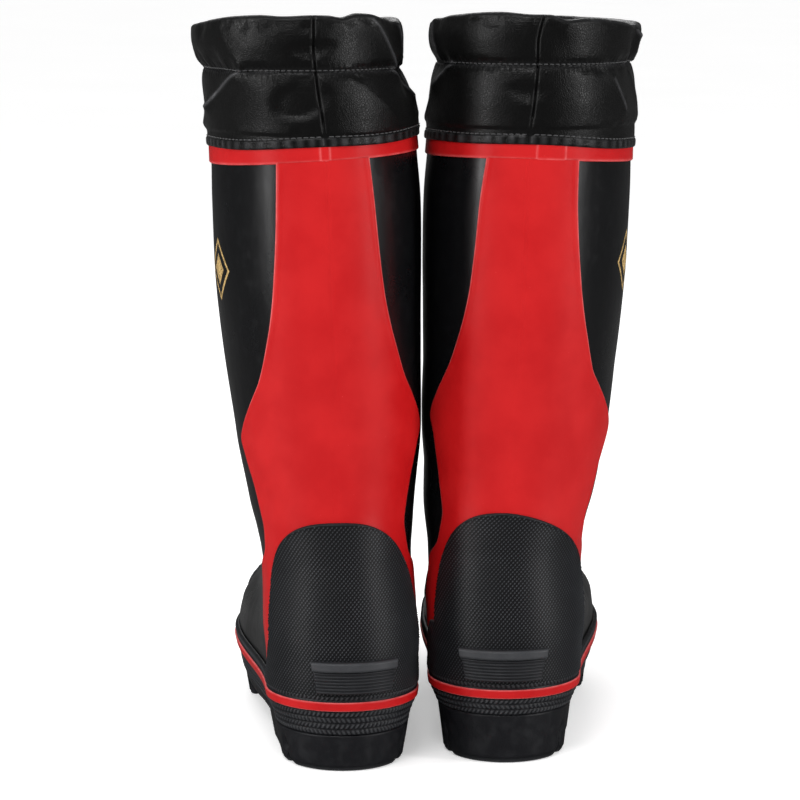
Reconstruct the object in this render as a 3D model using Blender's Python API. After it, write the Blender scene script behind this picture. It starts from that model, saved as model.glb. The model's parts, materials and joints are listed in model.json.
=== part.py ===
"""A pair of firefighter's rubber safety boots with drawcord cuffs.

Each boot is built up in layers as it would be on a last: lining, steel toe
cap and heel stiffener, rubber upper, red back panel, heel counter, foxing
and outsole, with a soft cuff, its drawcord and cord lock on top. The toes
point to -Y and the wearer's left boot stands at +X. The origin is on the
floor, under the middle of the pair's bounding box.

Tables and dimensions are in millimetres and MM turns them into metres.
"""
import math

import bmesh
import bpy
import numpy as np
from mathutils import Vector

MM = 0.001

# ---------------------------------------------------------------- dimensions
HEEL_SPACING = 82.5         # between the two heels' centre lines
RIGHT_BOOT_FORWARD = 18.0   # how far the right boot stands in front of the left
TOE_OUT = {"left": 4.2, "right": 2.0}      # degrees
SIDE = {"left": 1, "right": -1}
# Hand-laid rubber boots differ a little: the shaft's twist about its own axis
# in degrees, the cuff's extra outward lean and the heel block's extra height.
SHAFT_TWIST = {"left": 2.7, "right": 0.0}
CUFF_LEAN = {"left": 3.0, "right": -3.0}
HEEL_RISE = {"left": -1.3, "right": 1.3}
SHAFT_AXIS_FORWARD = 71.0
TWIST_RANGE = (140.0, 220.0)
CUFF_LEAN_RANGE = (342.0, 384.0)
# How much fuller each ankle is on either side, by height.
ANKLE_FULLNESS = {"left": ((55, 0), (72, 1.3), (98, 1.4), (120, 0.5), (140, 0)),
                  "right": ((50, 0.3), (72, 2.2), (98, 2.6), (125, 2.6), (144, 1.7),
                            (152, 1.1), (178, 0.9), (205, 0))}
ANKLE_SHIFT = {"left": ((60, 0), (80, 0.4), (120, 0.8), (150, 0.6), (175, 0)),
               "right": ((70, 0), (95, -1.0), (125, -1.3), (150, -0.3), (175, 0))}
# How far each red back panel sits round towards the outer side, in degrees.
PANEL_TURN = {"left": ((42, 0), (72, 2.5), (127, 3.2), (152, 3), (175, 1.5), (205, 0)),
              "right": ((42, 2), (72, 9), (127, 10.5), (152, 8.6), (172, 9.3), (186, 6),
                        (195, 3.4), (207, 1.2), (290, 1.2), (322, 2.4))}

COLUMNS = 28                # facets around each boot
CROWDING = 0.35             # how much closer they lie at the heel and the toe
ROWS = (16.8, 42.0, 57.0, 70.0, 84.0, 100.0, 111.0, 122.0, 145.0, 170.0, 205.0,
        255.0, 321.3, 334.0, 352.0, 369.0, 380.5, 400.0)

GAP = 0.35                  # clearance between neighbouring pieces
HEEL_BLOCK_TOP = 16.5
FOXING_TOP = 41.6
STRIPE_LOW, STRIPE_HIGH = 32.0, 36.2
BAND_LOW = 321.3
UPPER_TOP = 334.0
CUFF_LOW, CUFF_TOP = 331.0, 368.6
HEM_LOW, HEM_BULGE, HEM_TOP = 369.0, 380.5, 400.0

# Layers, as distances out from the rubber upper's outer face.
UPPER = (-2.4, 0.0)
PANEL = (0.95, 1.5)
COUNTER = (2.3, 3.4)
FOXING = (0.4, 2.4)
STRIPE = (2.75, 3.5)
BAND = (0.4, 1.2)
CUFF = (1.6, 2.4)
TOE_GUARD = (1.0, 2.4)
STIFFENER = (-4.5, -3.1)
LINING = (-7.8, -6.5)
INSOLE_EDGE = -8.4
BOARD_EDGE = -3.3
OUTSOLE_EDGE = 2.2

# The bottom of the boot, from the sole up: heights of each layer.
FILLER = (16.8, 24.0)
PLATE = (24.3, 25.1)
BOARD = (25.4, 27.4)
LINING_FLOOR = (27.7, 28.9)
INSOLE = (29.2, 34.2)
STIFFENER_LOW = 28.0

SPUR_LOW, SPUR_HIGH, SPUR_WIDTH, SPUR_DEPTH = 42.3, 57.0, 47.0, 5.5

CORD_RADIUS = 2.0
CORD_DEPTH = -1.2           # the cord's centre line inside the hem
HEM_WALL = 0.8
HEM_INNER = -4.3            # the hem's inner face
EYELET_BORE, EYELET_BARREL, EYELET_FLANGE = 2.4, 3.2, 4.2
EYELET_FLANGE_THICKNESS = 0.7
EYELET_Z = 387.0
TAIL_FORWARD = 12.0         # from the hem's front face to the hanging cord
TAIL_HALF_PITCH = 2.4       # half the distance between the two hanging cords
TAIL_BOTTOM = 330.0
LOCK_Z = 358.0
LOCK_BODY = (-14.5, 13.0, 11.4, 14.0)    # x from, x to, depth, height
LOCK_BORE, LOCK_BORE_END = 3.95, -12.8
LOCK_SLOT = (4.8, 2.4)      # half width and half depth of the cord slot
PLUNGER_RADIUS = 3.6
PLUNGER = (-6.2, 16.4)
PLUNGER_CAP = (16.4, 18.4, 5.2)
BUTTON_TRAVEL = 3.0
SPRING_RADIUS, SPRING_WIRE, SPRING_TURNS = 2.9, 0.35, 4

# ------------------------------------------------------- the boot's contours
# Each table gives a value by height above the floor. A contour is a rounded
# back, two sides and a rounded front, measured forward from the heel's back.
BACK = ((16, 3), (45, 0), (60, 1), (75, 3), (90, 5.5), (110, 9), (135, 12),
        (180, 9), (240, 4), (330, 2), (400, 3))
FRONT = ((16, 287), (30, 290), (45, 291), (60, 285), (75, 262), (90, 225), (110, 180),
         (135, 152), (180, 142), (240, 141), (330, 141), (352, 138),
         (368, 135), (384, 140), (400, 138))
BACK_ROUND_END = ((16, 42), (45, 44), (60, 46), (75, 50), (90, 56), (110, 66),
                  (135, 69), (180, 71), (240, 72), (400, 71))
FRONT_ROUND_START = ((16, 190), (45, 190), (60, 183), (75, 163), (90, 130),
                     (110, 100), (135, 82), (180, 76), (240, 74), (400, 72.5))
SHAFT_HALF_WIDTH = ((105, 38.9), (120, 41.6), (133, 44.2), (149, 46.9), (166, 49.6),
                    (182, 51.0), (199, 52.3), (231, 54.5), (264, 56.1), (297, 56.6),
                    (320, 55.9), (332, 55.6), (341, 54.7), (359, 53.4), (368, 52.2),
                    (376, 54.0), (386, 54.8), (400, 53.6))
BACK_HALF_WIDTH = ((16, 33.2), (25, 33.8), (29, 35.0), (34, 37.0), (45, 38.2),
                   (75, 38.2), (90, 38.0)) + SHAFT_HALF_WIDTH
FRONT_HALF_WIDTH = ((16, 45.8), (30, 48.3), (45, 51.0), (57, 49.0), (75, 38.4),
                    (90, 36.5)) + SHAFT_HALF_WIDTH
FRONT_SQUARENESS = ((16, 2.4), (75, 2.3), (120, 2.0), (400, 2.0))
OUTWARD_LEAN = ((16, 0), (95, 0.5), (120, 2.0), (133, 3.4), (150, 4.5), (182, 6.5),
                (215, 9.0), (248, 10.9), (297, 12.5), (330, 14.3), (350, 15.8),
                (368, 18.3), (386, 20.0), (400, 20.8))
TOE_INWARD = 6.0            # the toe tip lies towards the inside of the foot
TOE_INWARD_FROM = 190.0
INNER_NARROWING = 0.09      # the inner side of the forefoot is the straighter one
# How the sole's lines fall at the ball of the foot and rise at the toe, by
# distance from the heel; the effect fades out over FADE heights.
SOLE_DROP = ((0, 0), (60, 0), (120, -0.6), (190, -1.0), (240, -0.4), (292, 4))
FADE = (60.0, 140.0)

# The red back panel's edge and the heel counter's edge, by height, as angles
# round the boot's rounded back; past 90 degrees each degree is SIDE_STEP.
SIDE_STEP = 0.8
PANEL_EDGE = ((42, 106), (72, 102), (80, 95), (92, 86), (103, 78), (111, 66), (119, 61),
              (127, 58), (135, 59.5), (151, 63.5), (160, 66), (170, 69.5), (177, 66),
              (186, 59.5), (195, 53), (204, 47), (221, 40), (237, 35), (253, 31.7),
              (285, 28.2), (322, 26))
COUNTER_EDGE = ((42, 92), (80, 88), (90, 84), (98, 75), (108, 61), (116, 47), (124, 22),
                (127, 2))
PANEL_SHOULDER = 170.0      # above it the panel only narrows
TOE_CAP_FROM = 236.0        # the steel toe cap's rear edge
TOE_GUARD_FROM = 232.0
HEEL_STIFFENER_TOP = 84.0
HEEL_STIFFENER_ANGLE = 92.0


def smooth_curve(pairs):
    """A monotone cubic through (place, value) pairs."""
    x, y = (np.array(v, float) for v in zip(*pairs))
    step = np.diff(x)
    rise = np.diff(y) / step
    slope = np.zeros_like(x)
    slope[0], slope[-1] = rise[0], rise[-1]
    for i in range(1, len(x) - 1):
        if rise[i - 1] * rise[i] > 0:
            near, far = 2 * step[i] + step[i - 1], step[i] + 2 * step[i - 1]
            slope[i] = (near + far) / (near / rise[i - 1] + far / rise[i])

    def value(at):
        at = min(max(float(at), x[0]), x[-1])
        i = min(int(np.searchsorted(x, at, side="right")) - 1, len(step) - 1)
        t = (at - x[i]) / step[i]
        rising = t * t * (3 - 2 * t)
        return (y[i] * (1 - rising) + y[i + 1] * rising
                + step[i] * t * (1 - t) * ((1 - t) * slope[i] - t * slope[i + 1]))
    return value


def smooth_step(value, low, high):
    t = min(max((value - low) / (high - low), 0.0), 1.0)
    return t * t * (3 - 2 * t)


BACK_AT, FRONT_AT = smooth_curve(BACK), smooth_curve(FRONT)
BACK_END_AT, FRONT_START_AT = smooth_curve(BACK_ROUND_END), smooth_curve(FRONT_ROUND_START)
BACK_WIDTH_AT, FRONT_WIDTH_AT = smooth_curve(BACK_HALF_WIDTH), smooth_curve(FRONT_HALF_WIDTH)
SQUARENESS_AT, LEAN_AT = smooth_curve(FRONT_SQUARENESS), smooth_curve(OUTWARD_LEAN)
DROP_AT = smooth_curve(SOLE_DROP)
PANEL_ANGLE, COUNTER_ANGLE = smooth_curve(PANEL_EDGE), smooth_curve(COUNTER_EDGE)


def contour(z, points=60):
    """One side of the boot's outline at height z.

    Returns arrays of sideways offset, forward distance, angle round the back
    and fraction of the outline's length, from the heel's back to the front.
    """
    back, front = BACK_AT(z), FRONT_AT(z)
    back_end, front_start = BACK_END_AT(z), FRONT_START_AT(z)
    back_width, front_width = BACK_WIDTH_AT(z), FRONT_WIDTH_AT(z)
    turn = np.linspace(0, math.pi / 2, points)
    u_back = back_end - (back_end - back) * np.cos(turn)
    w_back = back_width * np.sin(turn)
    along = np.linspace(0, 1, points)[1:]
    u_side = back_end + (front_start - back_end) * along
    w_side = back_width + (front_width - back_width) * along * along * (3 - 2 * along)
    power = 2 / SQUARENESS_AT(z)
    turn_front = turn[1:]
    u_front = front_start + (front - front_start) * np.sin(turn_front) ** power
    w_front = front_width * np.maximum(np.cos(turn_front), 0) ** power
    w_front[-1] = 0.0
    u = np.concatenate([u_back, u_side, u_front])
    w = np.concatenate([w_back, w_side, w_front])
    angle = np.concatenate([np.degrees(turn), 90 + (u[points:] - back_end) / SIDE_STEP])
    length = np.concatenate([[0], np.cumsum(np.hypot(np.diff(u), np.diff(w)))])
    return w, u, angle, length / length[-1]


def surface(z, share):
    """A point on the upper's outer face. share runs 0 at the back to +1 at the
    front along the outer side, and 0 to -1 along the inner side."""
    share = (share + 1) % 2 - 1
    w, u, _, fraction = contour(z)
    side = 1 if share >= 0 else -1
    forward = float(np.interp(abs(share), fraction, u))
    out = side * float(np.interp(abs(share), fraction, w))
    low = smooth_step(-z, -120, -60)
    if side < 0:
        out *= 1 - INNER_NARROWING * smooth_step(forward, 50, 110) * low
    inward = TOE_INWARD * smooth_step(forward, TOE_INWARD_FROM, 290) * low
    return np.array([out + LEAN_AT(z) - inward, forward, z])


def share_at_angle(z, angle):
    _, _, angles, fraction = contour(z)
    return float(np.interp(angle, angles, fraction))


def share_at_forward(z, forward):
    _, u, _, fraction = contour(z)
    return float(np.interp(forward, u, fraction))


def outward(z, share):
    """The unit vector out of the surface at a point."""
    around = surface(z, share + 0.004) - surface(z, share - 0.004)
    upward = surface(z + 0.5, share) - surface(z - 0.5, share)
    normal = np.cross(around, upward)
    middle = surface(z, share) - np.array([LEAN_AT(z), (BACK_AT(z) + FRONT_AT(z)) / 2, z])
    if np.dot(normal, middle) < 0:
        normal = -normal
    return normal / np.linalg.norm(normal)


def crowded(t):
    """Crowds columns towards the back and the front, where the boot is rounder."""
    return t - CROWDING * math.sin(2 * math.pi * t) / (2 * math.pi)


# Every layer takes its points from this one faceted grid, so that facets of
# neighbouring layers lie parallel and never cut each other.
ALL_ROUND = [crowded(-1 + 2 * k / COLUMNS) for k in range(COLUMNS)]
FROM_BACK = ALL_ROUND + [1.0]
FROM_FRONT = FROM_BACK[COLUMNS // 2:] + [share + 2 for share in ALL_ROUND[1:COLUMNS // 2 + 1]]
GRID = [[(surface(z, share), outward(z, share)) for share in ALL_ROUND] for z in ROWS]


def drop(point):
    """Moves a point with the sole's fall at the ball and rise at the toe."""
    fade = 1 - smooth_step(point[2], *FADE)
    return np.array([point[0], point[1], point[2] + DROP_AT(point[1]) * fade])


def on_grid(z, share, offset):
    """The point at an offset from the faceted surface."""
    z = min(max(z, ROWS[0]), ROWS[-1])
    row = min(int(np.searchsorted(ROWS, z, side="right")) - 1, len(ROWS) - 2)
    t = (z - ROWS[row]) / (ROWS[row + 1] - ROWS[row])
    share = (share + 1) % 2 - 1
    first = min(int(np.searchsorted(FROM_BACK, share + 1e-9, side="right")) - 1, COLUMNS - 1)
    s = max((share - FROM_BACK[first]) / (FROM_BACK[first + 1] - FROM_BACK[first]), 0.0)
    corners = []
    for i in (row, row + 1):
        (p, n), (q, m) = GRID[i][first % COLUMNS], GRID[i][(first + 1) % COLUMNS]
        corners.append((1 - s) * (p + offset * n) + s * (q + offset * m))
    return drop((1 - t) * corners[0] + t * corners[1])


# ------------------------------------------------------------- mesh building
MATERIALS = {}


def material(name, colour, roughness, metallic=0.0):
    """One Principled material for each finish, made once."""
    if name not in MATERIALS:
        made = bpy.data.materials.new(name)
        made.use_nodes = True
        shader = made.node_tree.nodes["Principled BSDF"]
        shader.inputs["Base Color"].default_value = (*colour, 1.0)
        shader.inputs["Roughness"].default_value = roughness
        shader.inputs["Metallic"].default_value = metallic
        made.diffuse_color = (*colour, 1.0)
        MATERIALS[name] = made
    return MATERIALS[name]


def black_rubber():
    return material("black_rubber", (0.012, 0.012, 0.014), 0.42)


def sole_rubber():
    return material("sole_rubber", (0.016, 0.016, 0.018), 0.6)


def red_rubber():
    return material("red_rubber", (0.58, 0.02, 0.022), 0.38)


def black_leather():
    return material("black_leather", (0.01, 0.01, 0.011), 0.3)


def lining_fabric():
    return material("lining_fabric", (0.32, 0.33, 0.34), 0.9)


def insole_foam():
    return material("insole_foam", (0.08, 0.08, 0.09), 0.85)


def steel():
    return material("steel", (0.55, 0.56, 0.58), 0.35, 1.0)


def fibre_board():
    return material("fibre_board", (0.35, 0.26, 0.17), 0.85)


def black_cord():
    return material("black_cord", (0.015, 0.015, 0.016), 0.7)


def black_plastic():
    return material("black_plastic", (0.02, 0.02, 0.022), 0.4)


class Boot:
    """One boot's frame: an empty at the back of the heel, turned by the toe-out."""

    def __init__(self, name, place):
        self.name = name
        self.side = SIDE[name]
        self.fullness = smooth_curve(ANKLE_FULLNESS[name])
        self.shift = smooth_curve(ANKLE_SHIFT[name])
        self.panel_turn = smooth_curve(PANEL_TURN[name])
        self.empty = bpy.data.objects.new(name + "_boot_axis", None)
        self.empty.location = Vector(place) * MM
        self.empty.rotation_euler.z = self.side * math.radians(TOE_OUT[name])
        bpy.context.collection.objects.link(self.empty)

    def stand(self, point, rigid_at=None):
        """Gives a point this boot's own twist, lean and heel height. A piece
        that slides or swings takes them all from one height, rigid_at."""
        out, forward, up = point
        height = up if rigid_at is None else rigid_at
        turn = math.radians(SHAFT_TWIST[self.name]) * smooth_step(height, *TWIST_RANGE)
        axis_out = LEAN_AT(height)
        x, u = out - axis_out, forward - SHAFT_AXIS_FORWARD
        x *= 1 + self.fullness(height) / BACK_WIDTH_AT(height)
        out = axis_out + x * math.cos(turn) + u * math.sin(turn)
        forward = SHAFT_AXIS_FORWARD - x * math.sin(turn) + u * math.cos(turn)
        out += CUFF_LEAN[self.name] * smooth_step(height, *CUFF_LEAN_RANGE)
        out += self.shift(height)
        return out, forward, up + HEEL_RISE[self.name] * smooth_step(up, 0, HEEL_BLOCK_TOP)

    def local(self, point, rigid_at=None):
        """From (outward, forward, up) to the empty's own axes, in metres."""
        out, forward, up = self.stand(point, rigid_at)
        return Vector((self.side * out, -forward, up)) * MM

    def pivot(self, name, point, parent=None, rigid_at=None):
        """An empty on a joint's axis."""
        empty = bpy.data.objects.new(f"{self.name}_{name}", None)
        empty.location = self.local(point, rigid_at)
        if parent:
            empty.location -= parent["place"]
            empty.parent = parent["empty"]
        else:
            empty.parent = self.empty
        bpy.context.collection.objects.link(empty)
        return {"empty": empty, "place": self.local(point, rigid_at), "rigid_at": rigid_at}

    def add(self, name, points, faces, finish, pivot=None):
        """A closed body from points in (outward, forward, up)."""
        mesh = bpy.data.meshes.new(f"{self.name}_{name}")
        centre = pivot["place"] if pivot else Vector((0, 0, 0))
        rigid_at = pivot["rigid_at"] if pivot else None
        mesh.from_pydata([self.local(p, rigid_at) - centre for p in points], [], faces)
        body = bmesh.new()
        body.from_mesh(mesh)
        bmesh.ops.remove_doubles(body, verts=body.verts, dist=1e-6)
        bmesh.ops.recalc_face_normals(body, faces=body.faces)
        bmesh.ops.triangulate(body, faces=body.faces)
        body.to_mesh(mesh)
        body.free()
        mesh.materials.append(finish)
        mesh.shade_smooth()
        mesh.set_sharp_from_angle(angle=math.radians(40))
        made = bpy.data.objects.new(f"{self.name}_{name}", mesh)
        made.parent = pivot["empty"] if pivot else self.empty
        bpy.context.collection.objects.link(made)
        return made


def grid_faces(rows, columns):
    """Quads of a grid of points numbered row by row, closed round each row."""
    return [(i * columns + k, i * columns + (k + 1) % columns,
             (i + 1) * columns + (k + 1) % columns, (i + 1) * columns + k)
            for i in range(rows - 1) for k in range(columns)]


def skin_faces(heights, columns, first=0):
    """Triangles between closed rings of points. Every layer's cells are split
    from their low corner to the next column's high corner, so that layers nest."""
    faces = []
    for i in range(len(heights) - 1):
        rising = heights[i + 1] >= heights[i]
        low, high = (i, i + 1) if rising else (i + 1, i)
        for k in range(columns):
            after = (k + 1) % columns
            a, b = first + low * columns + k, first + low * columns + after
            c, d = first + high * columns + after, first + high * columns + k
            faces += [(a, b, c), (a, c, d)]
    return faces


def patch(boot, name, rows, shares, trim, layer, finish):
    """A layer over part of the surface, cut to shape by trim(z, share)."""
    places, numbers, cells = [], {}, []
    index = []
    for z in rows:
        line = []
        for share in shares:
            cut = trim(z, share)
            key = (round(cut[0], 4), round(cut[1], 5))
            if key not in numbers:
                numbers[key] = len(places)
                places.append(cut)
            line.append(numbers[key])
        index.append(line)
    for i in range(len(rows) - 1):
        for k in range(len(shares) - 1):
            corners = [index[i][k], index[i][k + 1], index[i + 1][k + 1], index[i + 1][k]]
            face = [c for j, c in enumerate(corners) if c != corners[j - 1]]
            if len(set(face)) == 4:
                cells += [face[:3], [face[0], face[2], face[3]]]
            elif len(set(face)) == len(face) == 3:
                cells.append(face)
    count = len(places)
    points = [on_grid(z, s, layer[1]) for z, s in places]
    points += [on_grid(z, s, layer[0]) for z, s in places]
    uses = {}
    for face in cells:
        for j, corner in enumerate(face):
            edge = (face[j - 1], corner)
            uses[tuple(sorted(edge))] = uses.get(tuple(sorted(edge)), []) + [edge]
    faces = [tuple(f) for f in cells] + [tuple(c + count for c in reversed(f)) for f in cells]
    for made in uses.values():
        if len(made) == 1:
            a, b = made[0]
            faces.append((b, a, a + count, b + count))
    return boot.add(name, points, faces, finish)


def rings_body(boot, name, rings, finish, pivot=None):
    """A body swept round the boot: each ring is a list of (z, offset) corners."""
    points = []
    for z, offset in rings + rings[:1]:
        points += [on_grid(z, share, offset) for share in ALL_ROUND]
    faces = skin_faces([z for z, _ in rings] + [rings[0][0]], COLUMNS)
    return boot.add(name, points, faces, finish, pivot)


def floor_strips(first):
    """Quads across a ring of points, from its inner side to its outer side."""
    half = COLUMNS // 2
    left = [first + (half + k) % COLUMNS for k in range(half + 1)]
    right = [first + (half - k) % COLUMNS for k in range(half + 1)]
    faces = [(left[0], left[1], right[1])]
    faces += [(left[k], left[k + 1], right[k + 1], right[k]) for k in range(1, half - 1)]
    faces.append((left[half - 1], left[half], right[half - 1]))
    return faces


def slab(boot, name, heights, offset, finish):
    """A flat layer in the bottom of the boot."""
    points = [on_grid(z, share, offset) for z in heights for share in ALL_ROUND]
    faces = skin_faces(heights, COLUMNS) + floor_strips(0) + floor_strips(COLUMNS)
    return boot.add(name, points, faces, finish)


def sweep(path, radii, sides):
    """Points and faces of a round bar along a path."""
    path = [np.array(p, float) for p in path]
    count = len(path)
    points, faces = [], []
    reference = None
    for i in range(count):
        ahead, behind = path[min(i + 1, count - 1)], path[max(i - 1, 0)]
        along = (ahead - behind) / np.linalg.norm(ahead - behind)
        if reference is None:
            reference = np.array([0, 0, 1.0]) if abs(along[2]) < 0.8 else np.array([0, 1.0, 0])
        across = reference - np.dot(reference, along) * along
        across /= np.linalg.norm(across)
        reference = across
        other = np.cross(along, across)
        for k in range(sides):
            turn = 2 * math.pi * k / sides
            points.append(path[i] + radii[i] * (math.cos(turn) * across + math.sin(turn) * other))
    faces = grid_faces(count, sides)
    faces += [tuple(range(sides)), tuple(reversed(range((count - 1) * sides, count * sides)))]
    return points, faces


def turned(profile, sides, place, axis):
    """A body turned round an axis from a closed profile of (along, radius)."""
    axis = np.array(axis, float) / np.linalg.norm(axis)
    across = np.cross(axis, [0, 0, 1.0])
    if np.linalg.norm(across) < 0.1:
        across = np.array([1.0, 0, 0])
    across /= np.linalg.norm(across)
    other = np.cross(axis, across)
    points = []
    for along, radius in profile:
        for k in range(sides):
            turn = 2 * math.pi * k / sides
            points.append(np.array(place) + along * axis
                          + radius * (math.cos(turn) * across + math.sin(turn) * other))
    faces = grid_faces(len(profile), sides)
    last = (len(profile) - 1) * sides
    faces += [(last + k, last + (k + 1) % sides, (k + 1) % sides, k) for k in range(sides)]
    return points, faces


def solid_turned(profile, sides, place, axis):
    """A turned body with flat ends, from an open profile of (along, radius)."""
    points, faces = turned(profile, sides, place, axis)
    faces = faces[:(len(profile) - 1) * sides]
    last = (len(profile) - 1) * sides
    return points, faces + [tuple(range(sides)), tuple(range(last, last + sides))]


def cut(body, cutters):
    """Cuts bodies away with Boolean modifiers and hides the cutters."""
    for cutter in cutters:
        cutter.hide_render = True
        cutter.display_type = "WIRE"
        change = body.modifiers.new("cut", "BOOLEAN")
        change.operation = "DIFFERENCE"
        change.solver = "EXACT"
        change.object = cutter


def box_points(x, u, z):
    """A box between pairs of limits in (outward, forward, up)."""
    points = [(a, b, c) for c in z for b in u for a in x]
    faces = [(0, 1, 3, 2), (4, 5, 7, 6), (0, 1, 5, 4), (2, 3, 7, 6), (0, 2, 6, 4), (1, 3, 7, 5)]
    return points, faces


# -------------------------------------------------------------------- pieces
def rows_between(low, high):
    return [low] + [z for z in ROWS if low + 1 < z < high - 1] + [high]


# Stations of the outsole's underside as shares of the half girth and heights:
# a groove across the heel block, the raised waist, then evenly spaced lugs.
HEEL_STATIONS = [(0.13, 0.0), (0.14, 4.0), (0.17, 4.0), (0.18, 0.0), (0.27, 0.0),
                 (0.30, 8.5), (0.58, 6.5)]
LUGS, LUG_FROM, LUG_PITCH, LUG_LONG, LUG_SLOPE, LUG_ROOT = 5, 0.6, 0.068, 0.043, 0.005, 4.2
OUTSOLE_TAPER = 3.4
TOE_SPRING = ((0, 0), (215, 0), (250, 2.0), (290, 8.5))   # forward, rise


def outsole(boot):
    """Heel block, waist and lugged forefoot, as stations from heel to toe."""
    half = COLUMNS // 2
    stations = [(FROM_BACK[half + k], 0.0) for k in range(3)]
    stations += HEEL_STATIONS
    for i in range(LUGS):
        share = LUG_FROM + i * LUG_PITCH
        stations += [(share, 0.0), (share + LUG_LONG, 0.0),
                     (share + LUG_LONG + LUG_SLOPE, LUG_ROOT),
                     (share + LUG_PITCH - LUG_SLOPE, LUG_ROOT)]
    stations += [(FROM_BACK[COLUMNS - k], 0.6 - 0.3 * k) for k in (1, 0)]
    toe_spring = smooth_curve(TOE_SPRING)
    points, faces = [], []

    def corner(share, z, offset, bottom):
        point = on_grid(ROWS[0], share, offset)
        if bottom:
            return np.array([point[0], point[1], z + toe_spring(point[1])])
        return point + np.array([0, 0, HEEL_BLOCK_TOP - ROWS[0]])

    for share, z in stations:
        taper = OUTSOLE_EDGE - OUTSOLE_TAPER * (1 - z / HEEL_BLOCK_TOP)
        for side in (1, -1):
            points.append(corner(side * share, HEEL_BLOCK_TOP, OUTSOLE_EDGE, False))
            points.append(corner(side * share, z, taper, True))
    for i in range(len(stations) - 1):
        a, b = 4 * i, 4 * (i + 1)
        faces.append((a, b, b + 2, a + 2))
        faces.append((a + 1, a + 3, b + 3, b + 1))
        faces.append((a, a + 1, b + 1, b))
        faces.append((a + 2, b + 2, b + 3, a + 3))
    return boot.add("outsole", points, faces, sole_rubber())


def bottom_layers(boot):
    slab(boot, "midsole_filler", FILLER, BOARD_EDGE, insole_foam())
    slab(boot, "steel_midsole_plate", PLATE, BOARD_EDGE - 1.5, steel())
    slab(boot, "insole_board", BOARD, BOARD_EDGE, fibre_board())
    slab(boot, "removable_insole", INSOLE, INSOLE_EDGE, insole_foam())


def lining(boot):
    """A knitted sock that lines the boot, closed at the sole."""
    rows = (LINING_FLOOR[0], 42.0, 57.0, 70.0, 84.0, 100.0, 111.0, 122.0, 145.0, 170.0, 205.0,
            UPPER_TOP)
    inner_rows = (LINING_FLOOR[1],) + rows[1:]
    rings = [(z, LINING[1]) for z in rows] + [(z, LINING[0]) for z in reversed(inner_rows)]
    points = [on_grid(z, share, offset) for z, offset in rings for share in ALL_ROUND]
    faces = skin_faces([z for z, _ in rings], COLUMNS)
    faces += floor_strips(0) + floor_strips((len(rings) - 1) * COLUMNS)
    return boot.add("lining", points, faces, lining_fabric())


def rubber_upper(boot):
    rows = rows_between(ROWS[0], UPPER_TOP)
    rings = [(z, UPPER[1]) for z in rows] + [(z, UPPER[0]) for z in reversed(rows)]
    rings_body(boot, "rubber_upper", rings, black_rubber())


def edge_height(edge_angle, share, low, high):
    """The height between low and high at which a narrowing edge crosses a column."""
    for _ in range(20):
        z = (low + high) / 2
        if share_at_angle(z, edge_angle(z)) > share:
            low = z
        else:
            high = z
    return low


def red_back_panel(boot):
    """Each side's edge is clamped up to the shoulder; above it the panel only
    narrows, and there each column stops where the edge crosses it."""
    low, high = 42.0, BAND_LOW - GAP
    edges, tops, shares = {}, {}, list(FROM_BACK)
    for side in (1, -1):
        def edge_angle(z, side=side):
            return PANEL_ANGLE(z) + side * boot.panel_turn(z)
        edges[side] = edge_angle
        tops[side] = share_at_angle(high, edge_angle(high))
        shares.append(side * tops[side])
    shares.sort()

    def trim(z, share):
        side = 1 if share >= 0 else -1
        low_z = min(z, PANEL_SHOULDER)
        size = min(abs(share), share_at_angle(low_z, edges[side](low_z)))
        if abs(share) == tops[side]:
            if z == high:
                return z, share
            size = min(s for s in FROM_BACK if s > tops[side])
        if z > PANEL_SHOULDER and size > tops[side]:
            z = min(z, edge_height(edges[side], size, PANEL_SHOULDER, high))
        return z, side * size
    patch(boot, "red_back_panel", rows_between(low, high), shares, trim, PANEL,
          red_rubber())


def heel_counter(boot):
    low, high = COUNTER_EDGE[0][0], COUNTER_EDGE[-1][0]
    widest = share_at_angle(low, COUNTER_ANGLE(low))

    def trim(z, share):
        share = min(max(share, -widest), widest)
        return min(z, edge_height(COUNTER_ANGLE, abs(share), low, high)), share
    patch(boot, "heel_counter", rows_between(low, high), FROM_BACK, trim, COUNTER,
          black_rubber())


def kick_off_spur(boot):
    """The ledge at the back of the heel that the other foot pulls against."""
    ribs = 3
    angle = math.degrees(math.asin(SPUR_WIDTH / 2 / BACK_WIDTH_AT(50)))
    edge = share_at_angle(50, angle)
    shares = [-edge] + [share for share in ALL_ROUND if abs(share) < edge] + [edge]
    columns = len(shares)
    inner = COUNTER[1] + GAP
    rib = (SPUR_HIGH - SPUR_LOW - 3.0) / ribs
    section = [(SPUR_LOW, inner)]
    for i in range(ribs):
        section += [(SPUR_LOW + i * rib + 0.4, inner + SPUR_DEPTH - 1.0),
                    (SPUR_LOW + (i + 0.75) * rib, inner + SPUR_DEPTH - 1.0),
                    (SPUR_LOW + (i + 0.9) * rib, inner + SPUR_DEPTH - 2.0)]
    section += [(SPUR_HIGH - 2.8, inner + SPUR_DEPTH), (SPUR_HIGH - 0.8, inner + SPUR_DEPTH),
                (SPUR_HIGH, inner + SPUR_DEPTH - 1.5), (SPUR_HIGH, inner)]
    points = []
    for share in shares:
        fall = 1 - 0.35 * abs(share / edge) ** 3
        for z, offset in section:
            points.append(on_grid(z, share, inner + (offset - inner) * fall + 0.35))
    size = len(section)
    faces = [(i * size + k, i * size + (k + 1) % size,
              (i + 1) * size + (k + 1) % size, (i + 1) * size + k)
             for i in range(columns - 1) for k in range(size)]
    faces += [tuple(range(size)), tuple(range((columns - 1) * size, columns * size))]
    boot.add("kick_off_spur", points, faces, black_rubber())


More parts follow.
